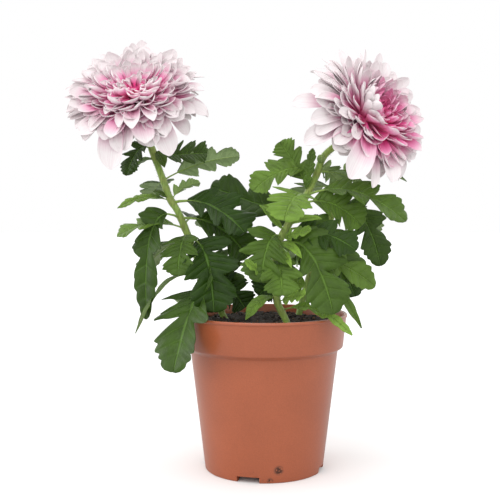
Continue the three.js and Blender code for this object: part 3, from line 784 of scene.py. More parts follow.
def vein_masks(tree, coordinates):
    """Masks of a leaf's midrib, side veins and fine net, from its own UV map."""
    parts = axes(tree, coordinates["UV"])
    side = calculate(tree, "ABSOLUTE", calculate(tree, "SUBTRACT", parts["X"], 0.5), 0.0)
    midrib = span(tree, side, 0.012, 0.04)
    stops = [(0.0, grey(0))]
    for place, strength in VEINS:
        stops += [(place - VEIN_BREADTH, grey(0)), (place, grey(strength)), (place + VEIN_BREADTH, grey(0))]
    vein = times(tree, ramp(tree, parts["Y"], stops), span(tree, side, 0.05, 0.5, 1.0, 0.15))
    cells = add_node(tree, "ShaderNodeTexVoronoi",
                     {"Vector": stretched(tree, coordinates["UV"], 14.0, 34.0, 1.0), "Scale": 1.0},
                     feature="DISTANCE_TO_EDGE").outputs["Distance"]
    return midrib, calculate(tree, "MAXIMUM", midrib, vein), span(tree, cells, 0.0, 0.12)


def leaf_upper_material(settings):
    """The upper side of a leaf: deep green to bright green by age, with pale sunken veins."""
    material, tree, shader, coordinates = new_material(
        "leaf_upper", Specular_IOR_Level=0.22, Sheen_Weight=0.07, Sheen_Roughness=0.4,
        Sheen_Tint=(0.85, 0.92, 0.8, 1))
    tone = tone_of(tree)
    green = mix(tree, tone, list(settings.old_green), list(settings.young_green))
    patches = noise_factor(tree, coordinates["Object"], 90, 4)
    green = mix(tree, 0.5, green, grey_ramp(tree, patches, 0.3, 0.7, 0.25, 0.75), "OVERLAY")
    midrib, veins, net = vein_masks(tree, coordinates)
    pale = mix(tree, tone, linear(96, 134, 52), linear(150, 184, 78))
    for mask, strength in ((net, 0.05), (veins, 0.3), (midrib, 0.35)):
        green = mix(tree, times(tree, mask, strength), green, pale)
    tree.links.new(span(tree, patches, 0.0, 1.0, 0.3, 0.46), shader.inputs["Roughness"])
    relief = calculate(tree, "SUBTRACT", times(tree, net, -0.08), veins)
    return finish_material(material, tree, shader, green, relief, 0.0008)


def leaf_lower_material(settings):
    """The lower side of a leaf: pale grey green and matt, with raised veins."""
    material, tree, shader, coordinates = new_material(
        "leaf_lower", Roughness=0.68, Sheen_Weight=0.2, Sheen_Roughness=0.5,
        Sheen_Tint=(0.85, 0.9, 0.8, 1))
    green = mix(tree, tone_of(tree), list(settings.underside), linear(150, 182, 92))
    patches = noise_factor(tree, coordinates["Object"], 110, 4)
    green = mix(tree, 0.3, green, grey_ramp(tree, patches, 0.3, 0.7, 0.3, 0.7), "OVERLAY")
    _, veins, net = vein_masks(tree, coordinates)
    green = mix(tree, times(tree, net, 0.2), green, linear(108, 140, 82))
    green = mix(tree, times(tree, veins, 0.5), green, linear(176, 196, 142))
    relief = calculate(tree, "MAXIMUM", veins, times(tree, net, 0.3))
    return finish_material(material, tree, shader, green, relief, 0.0003)


def stem_material(settings):
    """A ribbed green stem, downy, and reddish where a leaf leaves it."""
    material, tree, shader, coordinates = new_material(
        "stem", Roughness=0.5, Sheen_Weight=0.25, Sheen_Roughness=0.45, Sheen_Tint=(0.9, 0.95, 0.8, 1))
    streaks = noise_factor(tree, stretched(tree, coordinates["Object"], 900.0, 900.0, 60.0), 1.0, 3)
    base = list(settings.stem)
    green = ramp(tree, streaks, [(0.3, brighter(base, 0.6)), (0.5, base), (0.7, brighter(base, 1.25))])
    green = mix(tree, tone_of(tree), green, linear(134, 96, 62))
    return finish_material(material, tree, shader, green, streaks, 0.0002)


def petal_material(settings, name, power, depth, streaking):
    """One side of a petal: deep at the foot, pale at the tip, with fine streaks along it."""
    material, tree, shader, coordinates = new_material(
        name, Roughness=0.6, Specular_IOR_Level=0.25, Sheen_Weight=0.35, Sheen_Roughness=0.5,
        Sheen_Tint=(1.0, 0.8, 0.89, 1))
    tone = tone_of(tree)
    streaks = noise_factor(tree, stretched(tree, coordinates["UV"], 22.0, 1.4, 1.0), 1.0, 3)
    shift = times(tree, calculate(tree, "SUBTRACT", streaks, 0.5), 2 * streaking)
    deep = times(tree, calculate(tree, "POWER", tone, power), depth)
    deep = calculate(tree, "ADD", deep, times(tree, shift, tone), clamp=True)
    blush, tip, throat = list(settings.blush), list(settings.tip), list(settings.throat)
    pale = [lerp(b, t, 0.55) for b, t in zip(blush, tip)]
    stops = [(0.0, tip), (0.1, tip), (0.24, pale), (0.4, blush), (0.66, throat)]
    veined = times(tree, grey_ramp(tree, streaks, 0.45, 0.65), 0.22)
    coloured = mix(tree, veined, ramp(tree, deep, stops), list(settings.vein), "MULTIPLY")
    before_tip = span(tree, axes(tree, coordinates["UV"])["Y"], 0.6, 0.8)
    return finish_material(material, tree, shader, coloured, times(tree, streaks, before_tip), 0.0001)


def stage_material():
    """A pale matt floor that throws only a part of its light back up."""
    material, tree, shader, coordinates = new_material("pale_floor", Roughness=0.9, Specular_IOR_Level=0.0)
    seen = add_node(tree, "ShaderNodeLightPath").outputs["Is Camera Ray"]
    pale = grey_ramp(tree, noise_factor(tree, coordinates["Object"], 3, 2), 0.3, 0.7, 0.95, 0.98)
    tree.links.new(mix(tree, seen, grey(0.55), pale), shader.inputs["Base Color"])
    return material


# ---- pot and soil ----

def inner_corners(settings, inset):
    """The pot's inner wall from the floor up, as (radius, height) corners."""
    wall = settings.wall / MM + inset
    return [(FOOT_RADIUS + 0.6 - wall, FLOOR_TOP),
            (WALL_TOP[0] - wall, WALL_TOP[1] + 0.5),
            (BAND_FOOT[0] - wall, BAND_FOOT[1] + 1),
            (settings.rim_radius / MM - 0.6 - wall, settings.height / MM)]


def pot_mesh(settings):
    height = settings.height / MM
    rim = settings.rim_radius / MM
    inside = inner_corners(settings, 0)
    corners = [                              # each with the radius that rounds it
        ((0, 0), 0), ((BUTTON_RADIUS, 0), 0.5), ((BUTTON_RADIUS + 1, GUTTER_TOP), 0.5),
        ((FOOT_RING_INNER - 1, GUTTER_TOP), 0.5), ((FOOT_RING_INNER, 0), 0.5), ((FOOT_RADIUS, 0), 0.8),
        (WALL_TOP, 0.8), (BAND_FOOT, 0.7), ((rim - 0.7, height - BEAD_HEIGHT), 0.25),
        ((rim, height - BEAD_HEIGHT + 0.5), 0.4), ((rim, height), 0.8), (inside[3], 0.5),
        (inside[2], 0.8), (inside[1], 0.8), (inside[0], 1.5), ((0, FLOOR_TOP), 0),
    ]
    profile, rounding = zip(*corners)
    pot = spun(profile, POT_SIDES, rounding)
    cutters = bmesh.new()
    for i in range(NOTCH["count"]):
        turn = Matrix.Rotation(math.radians(NOTCH["first"]) + 2 * math.pi * i / NOTCH["count"], 4, "Z")
        size = Matrix.Diagonal((NOTCH["depth"], NOTCH["width"], NOTCH["height"] * 2, 1))
        place = Matrix.Translation((FOOT_RADIUS + 1, 0, 0))
        bmesh.ops.create_cube(cutters, size=1, matrix=turn @ place @ size)
    for i in range(DRAIN["count"]):
        turn = Matrix.Rotation(2 * math.pi * (i + 0.5) / DRAIN["count"], 4, "Z")
        place = Matrix.Translation((DRAIN["ring"], 0, 0))
        add_rod(cutters, DRAIN["sides"], DRAIN["radius"], DRAIN["depth"], turn @ place)
    pot = all_smooth(cut_away(pot, cutters))
    for edge in pot.edges:
        edge.smooth = edge.calc_face_angle(0) < CRISP_ANGLE
    return pot


def add_rod(bm, sides, radius, depth, place):
    """Adds a cylinder that cuts a hole."""
    bmesh.ops.create_cone(bm, cap_ends=True, segments=sides, radius1=radius, radius2=radius,
                          depth=depth, matrix=place)


def soil_top(x, y, edge_radius):
    """Height of the soil's top, heaped to the middle, with low clods."""
    share = min(math.hypot(x, y) / edge_radius, 1)
    clod = math.sin(0.31 * x + 0.17 * y) + math.sin(0.23 * y - 0.29 * x + 2) * math.cos(0.19 * x)
    heap = lerp(SOIL["crown"], SOIL["edge"], share ** 2)
    fine = noise.fractal(Vector((x, y, 0)) * 0.35, 0.9, 2.1, 4)
    return heap + (SOIL["lump"] * clod + SOIL["grain"] * fine) * (1 - smooth(0.9, 1, share))


def foot_line(shoot):
    """The foot of a stem in the soil, and the direction of its lowest stretch."""
    first, second = (Vector(point) for point in shoot.route[:2])
    direction = (second - first).normalized()
    return first + direction * ((STEM_FOOT - first.z) / direction.z), direction


def soil_solid(edge_radius, inside):
    """The lump of soil, with a plain hole for each stem."""
    profile = [(0, FLOOR_TOP + GAP), (inside[0][0], FLOOR_TOP + GAP), inside[1], inside[2],
               (edge_radius, SOIL["edge"])]
    rings = SOIL["rings"]
    for i in range(rings - 1, -1, -1):
        profile.append((edge_radius * i / rings, SOIL["edge"]))
    soil = spun(profile, SOIL["sides"], [0] * len(profile))
    for vert in soil.verts:
        if vert.co.z > SOIL["edge"] - 0.1 and math.hypot(vert.co.x, vert.co.y) < edge_radius - 0.1:
            vert.co.z = soil_top(vert.co.x, vert.co.y, edge_radius)
    holes = bmesh.new()
    for shoot in (LEFT_SHOOT, RIGHT_SHOOT, BACK_SHOOT):
        foot, direction = foot_line(shoot)
        place = Matrix.Translation(foot + direction * (STEM_HOLE["length"] / 2 - GAP))
        add_rod(holes, STEM_HOLE["sides"], STEM_RADIUS + 1.5 * GAP, STEM_HOLE["length"],
                place @ upright_to(direction))
    soil = all_smooth(cut_away(soil, holes))
    soil.verts.layers.float.new("tone")
    return soil


def scattered(chance, radius):
    """A point drawn evenly from a disc."""
    turn, reach = chance.uniform(0, 2 * math.pi), radius * math.sqrt(chance.random())
    return reach * math.cos(turn), reach * math.sin(turn)


def soil_mesh(settings):
    inside = inner_corners(settings, GAP + 0.05)
    share = (SOIL["edge"] - inside[2][1]) / (inside[3][1] - inside[2][1])
    edge_radius = lerp(inside[2][0], inside[3][0], share)
    chance = random.Random(SOIL["seed"])
    whole = bmesh.new()
    whole.verts.layers.float.new("tone")
    join(whole, soil_solid(edge_radius, inside))
    for i in range(CRUMBS["count"]):
        x, y = scattered(chance, edge_radius * CRUMBS["spread"])
        size = chance.uniform(*CRUMBS["radius"])
        crumb = with_layers(bmesh.new())
        bmesh.ops.create_icosphere(crumb, subdivisions=1, radius=size)
        set_tone(crumb, CRUMBS["tone"] if chance.random() < CRUMBS["pale_share"] else 0)
        for vert in crumb.verts:
            vert.co *= chance.uniform(*CRUMBS["unevenness"])
            vert.co.z *= CRUMBS["flatness"]
        height = soil_top(x, y, edge_radius) + size * CRUMBS["lift"]
        bmesh.ops.translate(crumb, vec=(x, y, height), verts=crumb.verts)
        join(whole, crumb)
    for i in range(FIBRES["count"]):
        x, y = scattered(chance, edge_radius * FIBRES["spread"])
        heading = chance.uniform(0, 2 * math.pi)
        points = []
        for step in (-2, -1, 0, 1, 2):
            turn = heading + FIBRES["curl"] * (step + 2)
            there = x + step * FIBRES["step"] * math.cos(turn), y + step * FIBRES["step"] * math.sin(turn)
            height = soil_top(*there, edge_radius) + chance.uniform(*FIBRES["lift"])
            points.append(Vector((*there, height)))
        fibre = tube(points, FIBRES["radii"], FIBRES["sides"])
        set_tone(fibre, chance.uniform(*FIBRES["tone"]))
        join(whole, fibre)
    return whole


# ---- shoots ----

def stem_points(shoot):
    """Points along a stem, by a centripetal spline through its route."""
    knots = [foot_line(shoot)[0]] + [Vector(point) for point in shoot.route]
    if shoot.bloom:
        knots.append(Vector(shoot.bloom.at) - Vector(shoot.bloom.axis).normalized())
    points = []
    for i in range(STEM_STEPS + 1):
        place = i / STEM_STEPS * (len(knots) - 1)
        knot = min(int(place), len(knots) - 2)
        second, third = knots[knot], knots[knot + 1]
        first = knots[knot - 1] if knot else second * 2 - third
        fourth = knots[knot + 2] if knot + 2 < len(knots) else third * 2 - second
        before, here, after = (math.sqrt((b - a).length) for a, b in
                               ((first, second), (second, third), (third, fourth)))
        leave = ((second - first) / before - (third - first) / (before + here)
                 + (third - second) / here) * here
        arrive = ((third - second) / here - (fourth - second) / (here + after)
                  + (fourth - third) / after) * here
        t = place - knot
        points.append(second * (2 * t ** 3 - 3 * t ** 2 + 1) + leave * (t ** 3 - 2 * t ** 2 + t)
                      + third * (3 * t ** 2 - 2 * t ** 3) + arrive * (t ** 3 - t ** 2))
    return points


def at_height(points, height):
    for lower, upper in zip(points, points[1:]):
        if upper.z >= height:
            return lower.lerp(upper, (height - lower.z) / (upper.z - lower.z))
    return points[-1].copy()


class Midrib:
    """A leaf's midrib: a bend from the stem over to the leaf's tip."""

    def __init__(self, root, leaf):
        self.root = root
        self.tip = Vector(leaf.tip)
        reach = self.tip - root
        heading = Vector((reach.x, reach.y, 0)).normalized()
        rise = math.radians(leaf.rise)
        self.bend = root + (heading * math.cos(rise) + UP * math.sin(rise)) * (reach.length / 2)
        self.face = Vector(leaf.face).normalized()

    def frame(self, share):
        """The point there, the way ahead, the way sideways and the way the upper side looks."""
        point = (self.root * (1 - share) ** 2 + self.bend * (2 * share * (1 - share))
                 + self.tip * share ** 2)
        ahead = ((self.bend - self.root) * (1 - share) + (self.tip - self.bend) * share).normalized()
        normal = (self.face - ahead * self.face.dot(ahead)).normalized()
        return point, ahead, ahead.cross(normal), normal


def uneven_cuts(kind, chance):
    """The cuts into one side of a leaf, each a little out of place and size, with its sides."""
    shift = jitter(chance, UNEVEN["shift"])
    cuts = []
    for group, sides in (("clefts", CLEFT_SIDES), ("teeth", TOOTH_SIDES)):
        for place, depth, breadth in kind[group]:
            cuts.append((place + shift + jitter(chance, UNEVEN["place"]),
                         depth * chance.uniform(*UNEVEN["depth"]),
                         breadth * chance.uniform(*UNEVEN["breadth"]), sides))
    return cuts


def leaf_width(kind, cuts, share):
    """Half width of a blade there, as a share of the leaf's own."""
    width = along(kind["envelope"], share)
    for place, depth, breadth, sides in cuts:
        width *= 1 - depth * (1 - min(abs(share - place) / breadth, 1) ** sides)
    return width


def leaf_parts(leaf, root, settings, chance):
    """A leaf's blade, and its stalk with the rib that runs on under the blade."""
    kind = LEAF_KINDS[leaf.kind]
    midrib = Midrib(root, leaf)
    blade = settings.blade / MM
    cuts = {-1: uneven_cuts(kind, chance), 1: uneven_cuts(kind, chance)}
    phases = {-1: chance.uniform(0, 6.3), 1: chance.uniform(0, 6.3)}
    droop = chance.uniform(*DROOP_RANGE)
    size = leaf.half / USUAL_HALF
    wave = settings.wave / MM * min(size, 1.2)

    def place(side, share):
        hand = 1 if side >= 0 else -1
        out = abs(side)
        point, ahead, sideways, normal = midrib.frame(lerp(kind["petiole"], 1, share))
        reach = leaf.half * leaf_width(kind, cuts[hand], share)
        sweep = math.cos(VEIN_ANGLE) * (1 - 0.45 * smooth(0.7, 1, share))
        lift = reach * (out * math.sin(KEEL_ANGLE) - droop * out ** 3)
        ripple = math.sin(2 * math.pi * MARGIN_WAVES * share + phases[hand])
        lift += wave * out ** 2 * ripple * smooth(0, 0.15, share)
        between_veins = smooth(0, 0.05, min(abs(share - vein) for vein, _ in VEINS))
        lift += QUILTING * size * between_veins * 4 * out * (1 - out) + blade / 2
        return (point + ahead * (reach * out * sweep)
                + sideways * (hand * reach * out * math.cos(KEEL_ANGLE)) + normal * lift)

    sheet = blade_sheet(place, *kind["grid"], blade)
    set_tone(sheet, min(max(leaf.tone + jitter(chance, TONE_SPREAD), 0), 1))
    stalk_radius = PETIOLE_RADIUS * min(max(size, 0.45), 1.05)
    points, radii = [], []
    for i in range(STALK["steps"] + 1):
        share = i / STALK["steps"] * STALK["end"]
        point, _, _, normal = midrib.frame(share)
        on_blade = smooth(kind["petiole"] * 0.7, kind["petiole"] * 1.5, share)
        points.append(point - normal * (on_blade * STALK["sunk"]))
        radii.append(stalk_radius * lerp(1, STALK["thinnest"], share ** 0.8))
    return sheet, all_smooth(tube(points, radii, 8), STALK_GREEN)


def calyx_parts(bloom, chance):
    """The cup under a bloom, with rows of narrow bracts pressed to it."""
    profile = [(0, -CALYX_HEIGHT), (STEM_RADIUS * 0.8, -CALYX_HEIGHT),
               (CALYX_RADIUS * 0.7, -CALYX_HEIGHT * 0.4), (CALYX_RADIUS, -CALYX_HEIGHT * 0.12),
               (CALYX_RADIUS, 0), (0, 0)]
    cup = with_layers(spun(profile, CALYX_SIDES, [0, 0, 0.8, 0.5, 0, 0]))
    parts = [all_smooth(cup, STALK_GREEN)]
    for count, low, radius, reach, half in CALYX_ROWS:
        for i in range(count):
            azimuth = 2 * math.pi * (i + jitter(chance, CALYX_BRACT["off_place"])) / count
            out = Vector((math.cos(azimuth), math.sin(azimuth), 0))
            sideways = Vector((-math.sin(azimuth), math.cos(azimuth), 0))

            def place_bract(side, share):
                width = half * math.sin(math.pi * min(0.15 + share * 0.82, 1)) ** 0.7
                point = out * (radius + share * 2.2 - side * side * 0.25) + UP * (low + reach * share)
                return point - sideways * (side * width)

            parts.append(blade_sheet(place_bract, 2, 5, CALYX_BRACT["thickness"]))
            set_tone(parts[-1], CALYX_BRACT["tone"])
    place = Matrix.Translation(bloom.at) @ upright_to(Vector(bloom.axis).normalized())
    for part in parts:
        bmesh.ops.transform(part, matrix=place, verts=part.verts)
    return parts


def bud_parts(centre, radius, chance):
    """A small closed bud, wrapped in narrow bracts that leave its top bare."""
    bud = with_layers(bmesh.new())
    bmesh.ops.create_uvsphere(bud, u_segments=16, v_segments=10, radius=radius)
    for vert in bud.verts:
        vert.co.z *= 1.15
    bmesh.ops.translate(bud, vec=centre, verts=bud.verts)
    parts = [all_smooth(bud, STALK_GREEN)]
    for i in range(BUD_BRACT["count"]):
        azimuth = 2 * math.pi * (i + jitter(chance, BUD_BRACT["off_place"])) / BUD_BRACT["count"]

        def place_bract(side, share):
            climb = math.radians(lerp(BUD_BRACT["from"], BUD_BRACT["to"], share))
            turn = azimuth - side * 0.3 * math.sin(math.pi * min(0.1 + share * 0.85, 1))
            ring = radius * 1.06 * math.cos(climb)
            return Vector(centre) + Vector((ring * math.cos(turn), ring * math.sin(turn),
                                            radius * 1.2 * math.sin(climb)))

        parts.append(blade_sheet(place_bract, 2, 6, BUD_BRACT["thickness"]))
        set_tone(parts[-1], BUD_BRACT["tone"])
    return parts


def stem_hairs(points, chance):
    """Short soft hairs that stand out from a stem, above the soil. Each starts inside the stem."""
    hairs = []
    radii = [HAIRS["radius"] * share for share in (1, 0.8, 0.25)]
    bare = sum(point.z < SOIL["crown"] + 2 for point in points)
    for i in range(HAIRS["count"]):
        step = chance.randrange(bare, len(points) - 3)
        ahead = (points[step + 1] - points[step]).normalized()
        out = Matrix.Rotation(chance.uniform(0, 2 * math.pi), 3, ahead) @ ahead.orthogonal().normalized()
        foot = points[step].lerp(points[step + 1], chance.random()) + out * (STEM_RADIUS * 0.8)
        reach = chance.uniform(*HAIRS["length"]) + STEM_RADIUS * 0.2
        lean = ahead * chance.uniform(*HAIRS["lean"])
        path = [foot, foot + (out + lean * 0.5) * (reach * 0.55), foot + (out + lean) * reach]
        hairs.append(all_smooth(tube(path, radii, 3), STALK_GREEN))
    return hairs


def shoot_mesh(shoot, settings):
    chance = random.Random(shoot.seed)
    points = stem_points(shoot)

    def near_leaf(height, distance):
        """1 where a leaf leaves the stem, and almost nothing at twice that distance from there."""
        nearest = min(abs(height - leaf.start) for leaf in shoot.leaves)
        return math.exp(-(nearest / distance) ** 2)

    radii = []
    for point in points:
        radii.append(STEM_RADIUS + NODE["swelling"] * near_leaf(point.z, NODE["swelling_reach"]))
    stem = tube(points, radii, STEM_SIDES, **STEM_RIBS)
    set_tone(stem, lambda place: NODE["tone"] * near_leaf(place.z, NODE["tone_reach"]))
    parts = [all_smooth(stem, STALK_GREEN)]
    for leaf in shoot.leaves:
        parts += leaf_parts(leaf, at_height(points, leaf.start), settings, chance)
    parts += stem_hairs(points, random.Random(shoot.seed + 1))
    if shoot.bloom:
        parts += calyx_parts(shoot.bloom, chance)
    for *centre, radius in shoot.buds:
        parts += bud_parts(centre, radius, chance)
    return joined(parts)


# ---- blooms ----

def petal_of_rank(rank):
    """The petal values at a rank, between the two rows that it lies between."""
    for inner, outer in zip(PETAL_ROWS, PETAL_ROWS[1:]):
        if rank <= outer.rank:
            share = (rank - inner.rank) / (outer.rank - inner.rank)
            return PetalRow(*[lerp(a, b, share) for a, b in zip(inner, outer)])
    return PETAL_ROWS[-1]


def root_on_core(root_angle):
    """Where a petal leaves the core, as (distance from the axis, height)."""
    angle = math.radians(root_angle)
    return CORE_RADIUS * 0.86 * math.sin(angle), CORE_HEIGHT * (0.5 + 0.4 * math.cos(angle))


def row_spine(root_angle, start, end, hook, reach):
    """Points (out, up, slope) of a petal that bends evenly from `start` to `end` degrees."""
    out, up = root_on_core(root_angle)
    spine = []
    for i in range(SPINE_STEPS + 1):
        share = i / SPINE_STEPS
        slope = math.radians(lerp(start, end, share) + hook * share ** 4)
        spine.append((out, up, slope))
        out += math.sin(slope) * reach / SPINE_STEPS
        up += math.cos(slope) * reach / SPINE_STEPS
    return spine


def tip_spine(root_angle, start, tip_out, tip_up):
    """Points (out, up, slope) of a petal that arches from the core to a given tip."""
    out, up = root_on_core(root_angle)
    half_way = math.hypot(tip_out - out, tip_up - up) * 0.5
    bend_out = out + math.sin(math.radians(start)) * half_way
    bend_up = up + math.cos(math.radians(start)) * half_way
    spine = []
    for i in range(SPINE_STEPS + 1):
        share = i / SPINE_STEPS
        first, second, third = (1 - share) ** 2, 2 * share * (1 - share), share ** 2
        slope = math.atan2(lerp(bend_out - out, tip_out - bend_out, share),
                           lerp(bend_up - up, tip_up - bend_up, share))
        spine.append((first * out + second * bend_out + third * tip_out,
                      first * up + second * bend_up + third * tip_up, slope))
    return spine


def petal_width(share):
    """Half width of a petal there, as a share of its widest: an even swelling and a round tip."""
    if share < PETAL_WIDEST:
        return lerp(PETAL_FOOT, 1, smooth(0, PETAL_WIDEST, share))
    past = (share - PETAL_WIDEST) / (1 - PETAL_WIDEST)
    return max(1 - past ** 3, 0.08) ** 0.5


def petal_part(spine, azimuth, half, rolls, tones, looseness, thickness, chance):
    """One petal: a spooned, grooved blade along its spine, in the bloom's own upright frame. `tones`
    are its `fade`, the least of its deep colour and the most."""
    fade, least, most = tones
    reach = math.dist(spine[0][:2], spine[-1][:2])
    sway = jitter(chance, SWAY) * reach * looseness
    twist = jitter(chance, TWIST) * looseness
    grooves = chance.choice((1.5, 1.5, 2))
    groove = GROOVE[0] * half + GROOVE[1]
    across = Vector((0, -1, 0))

    def place(side, step):
        share = 1 - (1 - step) ** TIP_CROWDING
        at = min(share * SPINE_STEPS, SPINE_STEPS - 1e-6)
        out, up, slope = [lerp(a, b, at % 1) for a, b in zip(spine[int(at)], spine[int(at) + 1])]
        ahead = Vector((math.sin(slope), 0, math.cos(slope)))
        inward = Vector((-math.cos(slope), 0, math.sin(slope)))
        width = half * petal_width(share)
        roll = math.radians(lerp(*rolls, share))
        lift = width * (1 - math.cos(side * roll)) / roll
        grooved = smooth(0.05, 0.4, share) * (1 - smooth(0.75, 0.97, share))
        lift -= groove * math.cos(2 * math.pi * grooves * side) * grooved
        tilt = twist * share
        sideways = across * math.cos(tilt) + inward * math.sin(tilt)
        top = inward * math.cos(tilt) - across * math.sin(tilt)
        return (Vector((out, 0, up)) + sideways * (width * math.sin(side * roll) / roll) + top * lift
                + across * (sway * share ** 2) - ahead * (0.12 * half * side ** 2 * smooth(0.6, 1, share)))

    petal = blade_sheet(place, PETAL_ACROSS, PETAL_ALONG, thickness)
    tone = petal.verts.layers.float["tone"]
    uv = petal.loops.layers.uv.active
    for face in petal.faces:
        for loop in face.loops:
            left = max(1 - loop[uv].uv.y, 0) ** (TONE_BEND * fade)
            loop.vert[tone] = max(most * left, least)
    bmesh.ops.rotate(petal, cent=(0, 0, 0), matrix=Matrix.Rotation(azimuth, 3, "Z"), verts=petal.verts)
    return petal


def row_petals(bloom, turn, settings, chance):
    """The petals of the rows, round and out by the golden angle."""
    petals = []
    down = turn.inverted() @ -UP
    parting = Vector(bloom.parting).normalized()
    parting_slope = parting.angle(Vector(bloom.axis).normalized())
    widths = [math.sin(math.radians(width)) for width in bloom.parting_width]
    for i in range(settings.petals):
        row = petal_of_rank(((i + 0.5) / settings.petals) ** bloom.crowding)
        opened = bloom.opening * (1 - row.rank) ** 2
        azimuth = i * GOLDEN_ANGLE + math.radians(jitter(chance, SCATTER["turn"]))
        downhill = down.x * math.cos(azimuth) + down.y * math.sin(azimuth)
        middle = math.radians(lerp(row.start, row.end, 0.5) + opened)
        heading = turn @ Vector((math.sin(middle) * math.cos(azimuth), math.sin(middle) * math.sin(azimuth),
                                 math.cos(middle)))
        aside = heading - parting
        near = math.exp(-(aside.x / widths[0]) ** 2 - (aside.z / widths[1]) ** 2) * (aside.length < 1)
        tongue = chance.random() < TONGUES and near > 0.3
        push = PARTING_PUSH * near * (1 if middle > parting_slope else -1)
        start = row.start + opened + SAG_START * downhill + push + jitter(chance, SCATTER["start"])
        end = row.end + opened + SAG_END * downhill + push + jitter(chance, SCATTER["end"])
        hook = row.hook + jitter(chance, SCATTER["hook"])
        reach = (bloom.size * row.reach * chance.uniform(*REACH_RANGE)
                 * (1 if tongue else 1 - PARTING_SHORTER * near) * (1 + SAG_REACH * downhill))
        spine = row_spine(row.root_angle, start, end, hook, reach)
        rolls = (row.roll_foot, row.roll_tip * chance.uniform(*ROLL_RANGE))
        half = (row.half * (1 + OPENED_BREADTH * opened) * (1 + SAG_BREADTH * downhill)
                * chance.uniform(*BREADTH_RANGE))
        fade = (lerp(PALE_FADE, row.fade, bloom.heart) / bloom.blushing * (1 - PARTING_DEEPER * near)
                * (1 - LOWER_DEEPER * downhill))
        least = row.least * bloom.heart
        if tongue:
            half, fade, least = half * TONGUE_BREADTH, TONGUE_FADE, 0
        tones = (fade, least, lerp(1, PALE_BACK, smooth(*BACK_RANKS, row.rank)))
        petals.append(petal_part(spine, azimuth, half, rolls, tones, 1, settings.petal / MM, chance))
    return petals


def showy_petals(bloom, place, settings, chance):
    """The petals that hang out of the rows, each to its own tip."""
    petals = []
    for showy in (ShowyPetal(*values) for values in bloom.showy):
        tip = place.inverted() @ Vector(showy.tip)
        spine = tip_spine(SHOWY["root_angle"], showy.start, math.hypot(tip.x, tip.y), tip.z)
        rolls = (SHOWY["roll_foot"], showy.roll_tip)
        tones = (1 / bloom.blushing, 0, SHOWY["most"])
        petals.append(petal_part(spine, math.atan2(tip.y, tip.x), showy.half, rolls, tones,
                                 SHOWY["looseness"], settings.petal / MM, chance))
    return petals


def core_part():
    """The core that the petals grow from, deep in colour above and pale below."""
    low, high = CORE_HEIGHT * 0.3, CORE_HEIGHT * 0.6
    profile = [(0, 0), (CALYX_RADIUS * 0.95, 0), (CORE_RADIUS * 0.9, low), (CORE_RADIUS * 0.9, high),
               (CORE_RADIUS * 0.6, CORE_HEIGHT * 0.85), (0, CORE_HEIGHT * 0.9)]
    core = all_smooth(with_layers(spun(profile, CORE_SIDES, [0, 0, 2, 2, 1, 0])))
    set_tone(core, lambda place: smooth(low, high, place.z))
    return core


def bloom_mesh(bloom, settings):
    chance = random.Random(bloom.seed)
    axis = Vector(bloom.axis).normalized()
    turn = UP.rotation_difference(axis)
    place = Matrix.Translation(Vector(bloom.at) + axis * GAP) @ turn.to_matrix().to_4x4()
    petals = row_petals(bloom, turn, settings, chance)
    whole = joined([*petals, *showy_petals(bloom, place, settings, chance), core_part()])
    bmesh.ops.transform(whole, matrix=place, verts=whole.verts)
    return whole


# ---- operators ----

class MakeStage(bpy.types.Operator):
    """Adds the pale floor, the soft studio lights and the camera"""
    bl_idname = "chrysanthemum.make_stage"
    bl_label = "Stage"

    def execute(self, context):
        settings = context.scene.chrysanthemum_stage
        scene = context.scene
        bm = bmesh.new()
        bmesh.ops.create_circle(bm, cap_ends=True, segments=96, radius=FLOOR_RADIUS)
        floor = add_object("floor", as_mesh("floor", bm))
        floor.data.materials.append(stage_material())

        world = bpy.data.worlds.new("studio")
        scene.world = world
        world.use_nodes = True
        tree = world.node_tree
        background = tree.nodes["Background"]
        background.inputs["Color"].default_value = grey(1)
        seen = add_node(tree, "ShaderNodeLightPath").outputs["Is Camera Ray"]
        tree.links.new(span(tree, seen, 0.0, 1.0, SURROUNDINGS, 1.0), background.inputs["Strength"])

        for name, place, spread, strength in SUNS:
            data = bpy.data.lights.new(name, "SUN")
            data.angle = math.radians(spread)
            data.energy = strength
            light = add_object(name, data)
            light.location = place
            light.rotation_euler = (-Vector(place)).to_track_quat("-Z", "Y").to_euler()

        data = bpy.data.cameras.new("camera")
        data.lens = settings.lens
        data.sensor_width = SENSOR_WIDTH
        data.clip_start = NEAREST_SEEN
        camera = add_object("camera", data)
        camera.location = settings.eye
        camera.rotation_euler = (math.pi / 2 - settings.pitch, 0, 0)
        scene.camera = camera
        scene.view_settings.view_transform = "Standard"
        return {"FINISHED"}


class MakePot(bpy.types.Operator):
    """Makes the moulded pot with its rim, foot ring, notches and drain holes"""
    bl_idname = "chrysanthemum.make_pot"
    bl_label = "Pot"

    def execute(self, context):
        settings = context.scene.chrysanthemum_pot
        finish_piece("nursery_pot", pot_mesh(settings), [plastic_material(settings)],
                     "terracotta_plastic", "pot")
        return {"FINISHED"}


class MakeSoil(bpy.types.Operator):
    """Makes the potting soil with its crumbs and fibres"""
    bl_idname = "chrysanthemum.make_soil"
    bl_label = "Soil"

    def execute(self, context):
        settings = context.scene.chrysanthemum_pot
        finish_piece("soil_and_crumbs", soil_mesh(settings), [soil_material(settings)],
                     "potting_soil", "soil")
        return {"FINISHED"}


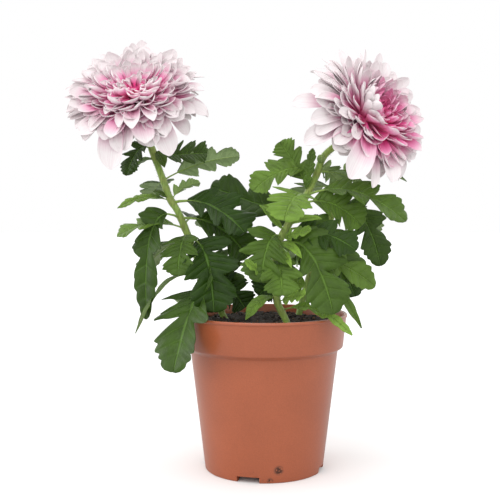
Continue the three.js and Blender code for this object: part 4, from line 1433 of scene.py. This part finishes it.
class MakeShoots(bpy.types.Operator):
    """Makes the three leafy shoots with their stems, leaves and buds"""
    bl_idname = "chrysanthemum.make_shoots"
    bl_label = "Shoots"

    def execute(self, context):
        settings = context.scene.chrysanthemum_leaf
        materials = [leaf_upper_material(settings), leaf_lower_material(settings), stem_material(settings)]
        for name, shoot, node in (("left_shoot", LEFT_SHOOT, "stem_left"),
                                  ("right_shoot", RIGHT_SHOOT, "stem_right"),
                                  ("back_shoot", BACK_SHOOT, "stem_back")):
            finish_piece(name, shoot_mesh(shoot, settings), materials, "foliage", node)
        return {"FINISHED"}


class MakeBlooms(bpy.types.Operator):
    """Makes the two blooms, petal by petal"""
    bl_idname = "chrysanthemum.make_blooms"
    bl_label = "Blooms"

    def execute(self, context):
        settings = context.scene.chrysanthemum_bloom
        materials = [petal_material(settings, "petal_face", 1.0, 1.0, 0.16),
                     petal_material(settings, "petal_reverse", 1.25, 0.95, 0.08)]
        for name, bloom, node in (("left_bloom", LEFT_BLOOM, "bloom_left"),
                                  ("right_bloom", RIGHT_BLOOM, "bloom_right")):
            finish_piece(name, bloom_mesh(bloom, settings), materials, "petals", node)
        return {"FINISHED"}


OPERATORS = (MakeStage, MakePot, MakeSoil, MakeShoots, MakeBlooms)
SETTINGS = {"chrysanthemum_pot": PotSettings, "chrysanthemum_leaf": LeafSettings,
            "chrysanthemum_bloom": BloomSettings, "chrysanthemum_stage": StageSettings}


class ChrysanthemumPanel(bpy.types.Panel):
    """Lists the pieces of the pot chrysanthemum and their sizes and colours"""
    bl_idname = "VIEW3D_PT_chrysanthemum"
    bl_label = "Pot Chrysanthemum"
    bl_space_type = "VIEW_3D"
    bl_region_type = "UI"
    bl_category = "Chrysanthemum"

    def draw(self, context):
        for operator in OPERATORS:
            self.layout.operator(operator.bl_idname)
        for name, group in SETTINGS.items():
            box = self.layout.box()
            for key in group.__annotations__:
                box.prop(getattr(context.scene, name), key)


def register():
    for group in SETTINGS.values():
        bpy.utils.register_class(group)
    for name, group in SETTINGS.items():
        setattr(bpy.types.Scene, name, PointerProperty(type=group))
    for item in (*OPERATORS, ChrysanthemumPanel):
        bpy.utils.register_class(item)


def unregister():
    for item in (ChrysanthemumPanel, *reversed(OPERATORS)):
        bpy.utils.unregister_class(item)
    for name, group in SETTINGS.items():
        delattr(bpy.types.Scene, name)
        bpy.utils.unregister_class(group)


def main():
    register()
    bpy.ops.chrysanthemum.make_stage()
    bpy.ops.chrysanthemum.make_pot()
    bpy.ops.chrysanthemum.make_soil()
    bpy.ops.chrysanthemum.make_shoots()
    bpy.ops.chrysanthemum.make_blooms()


if __name__ == "__main__":
    main()
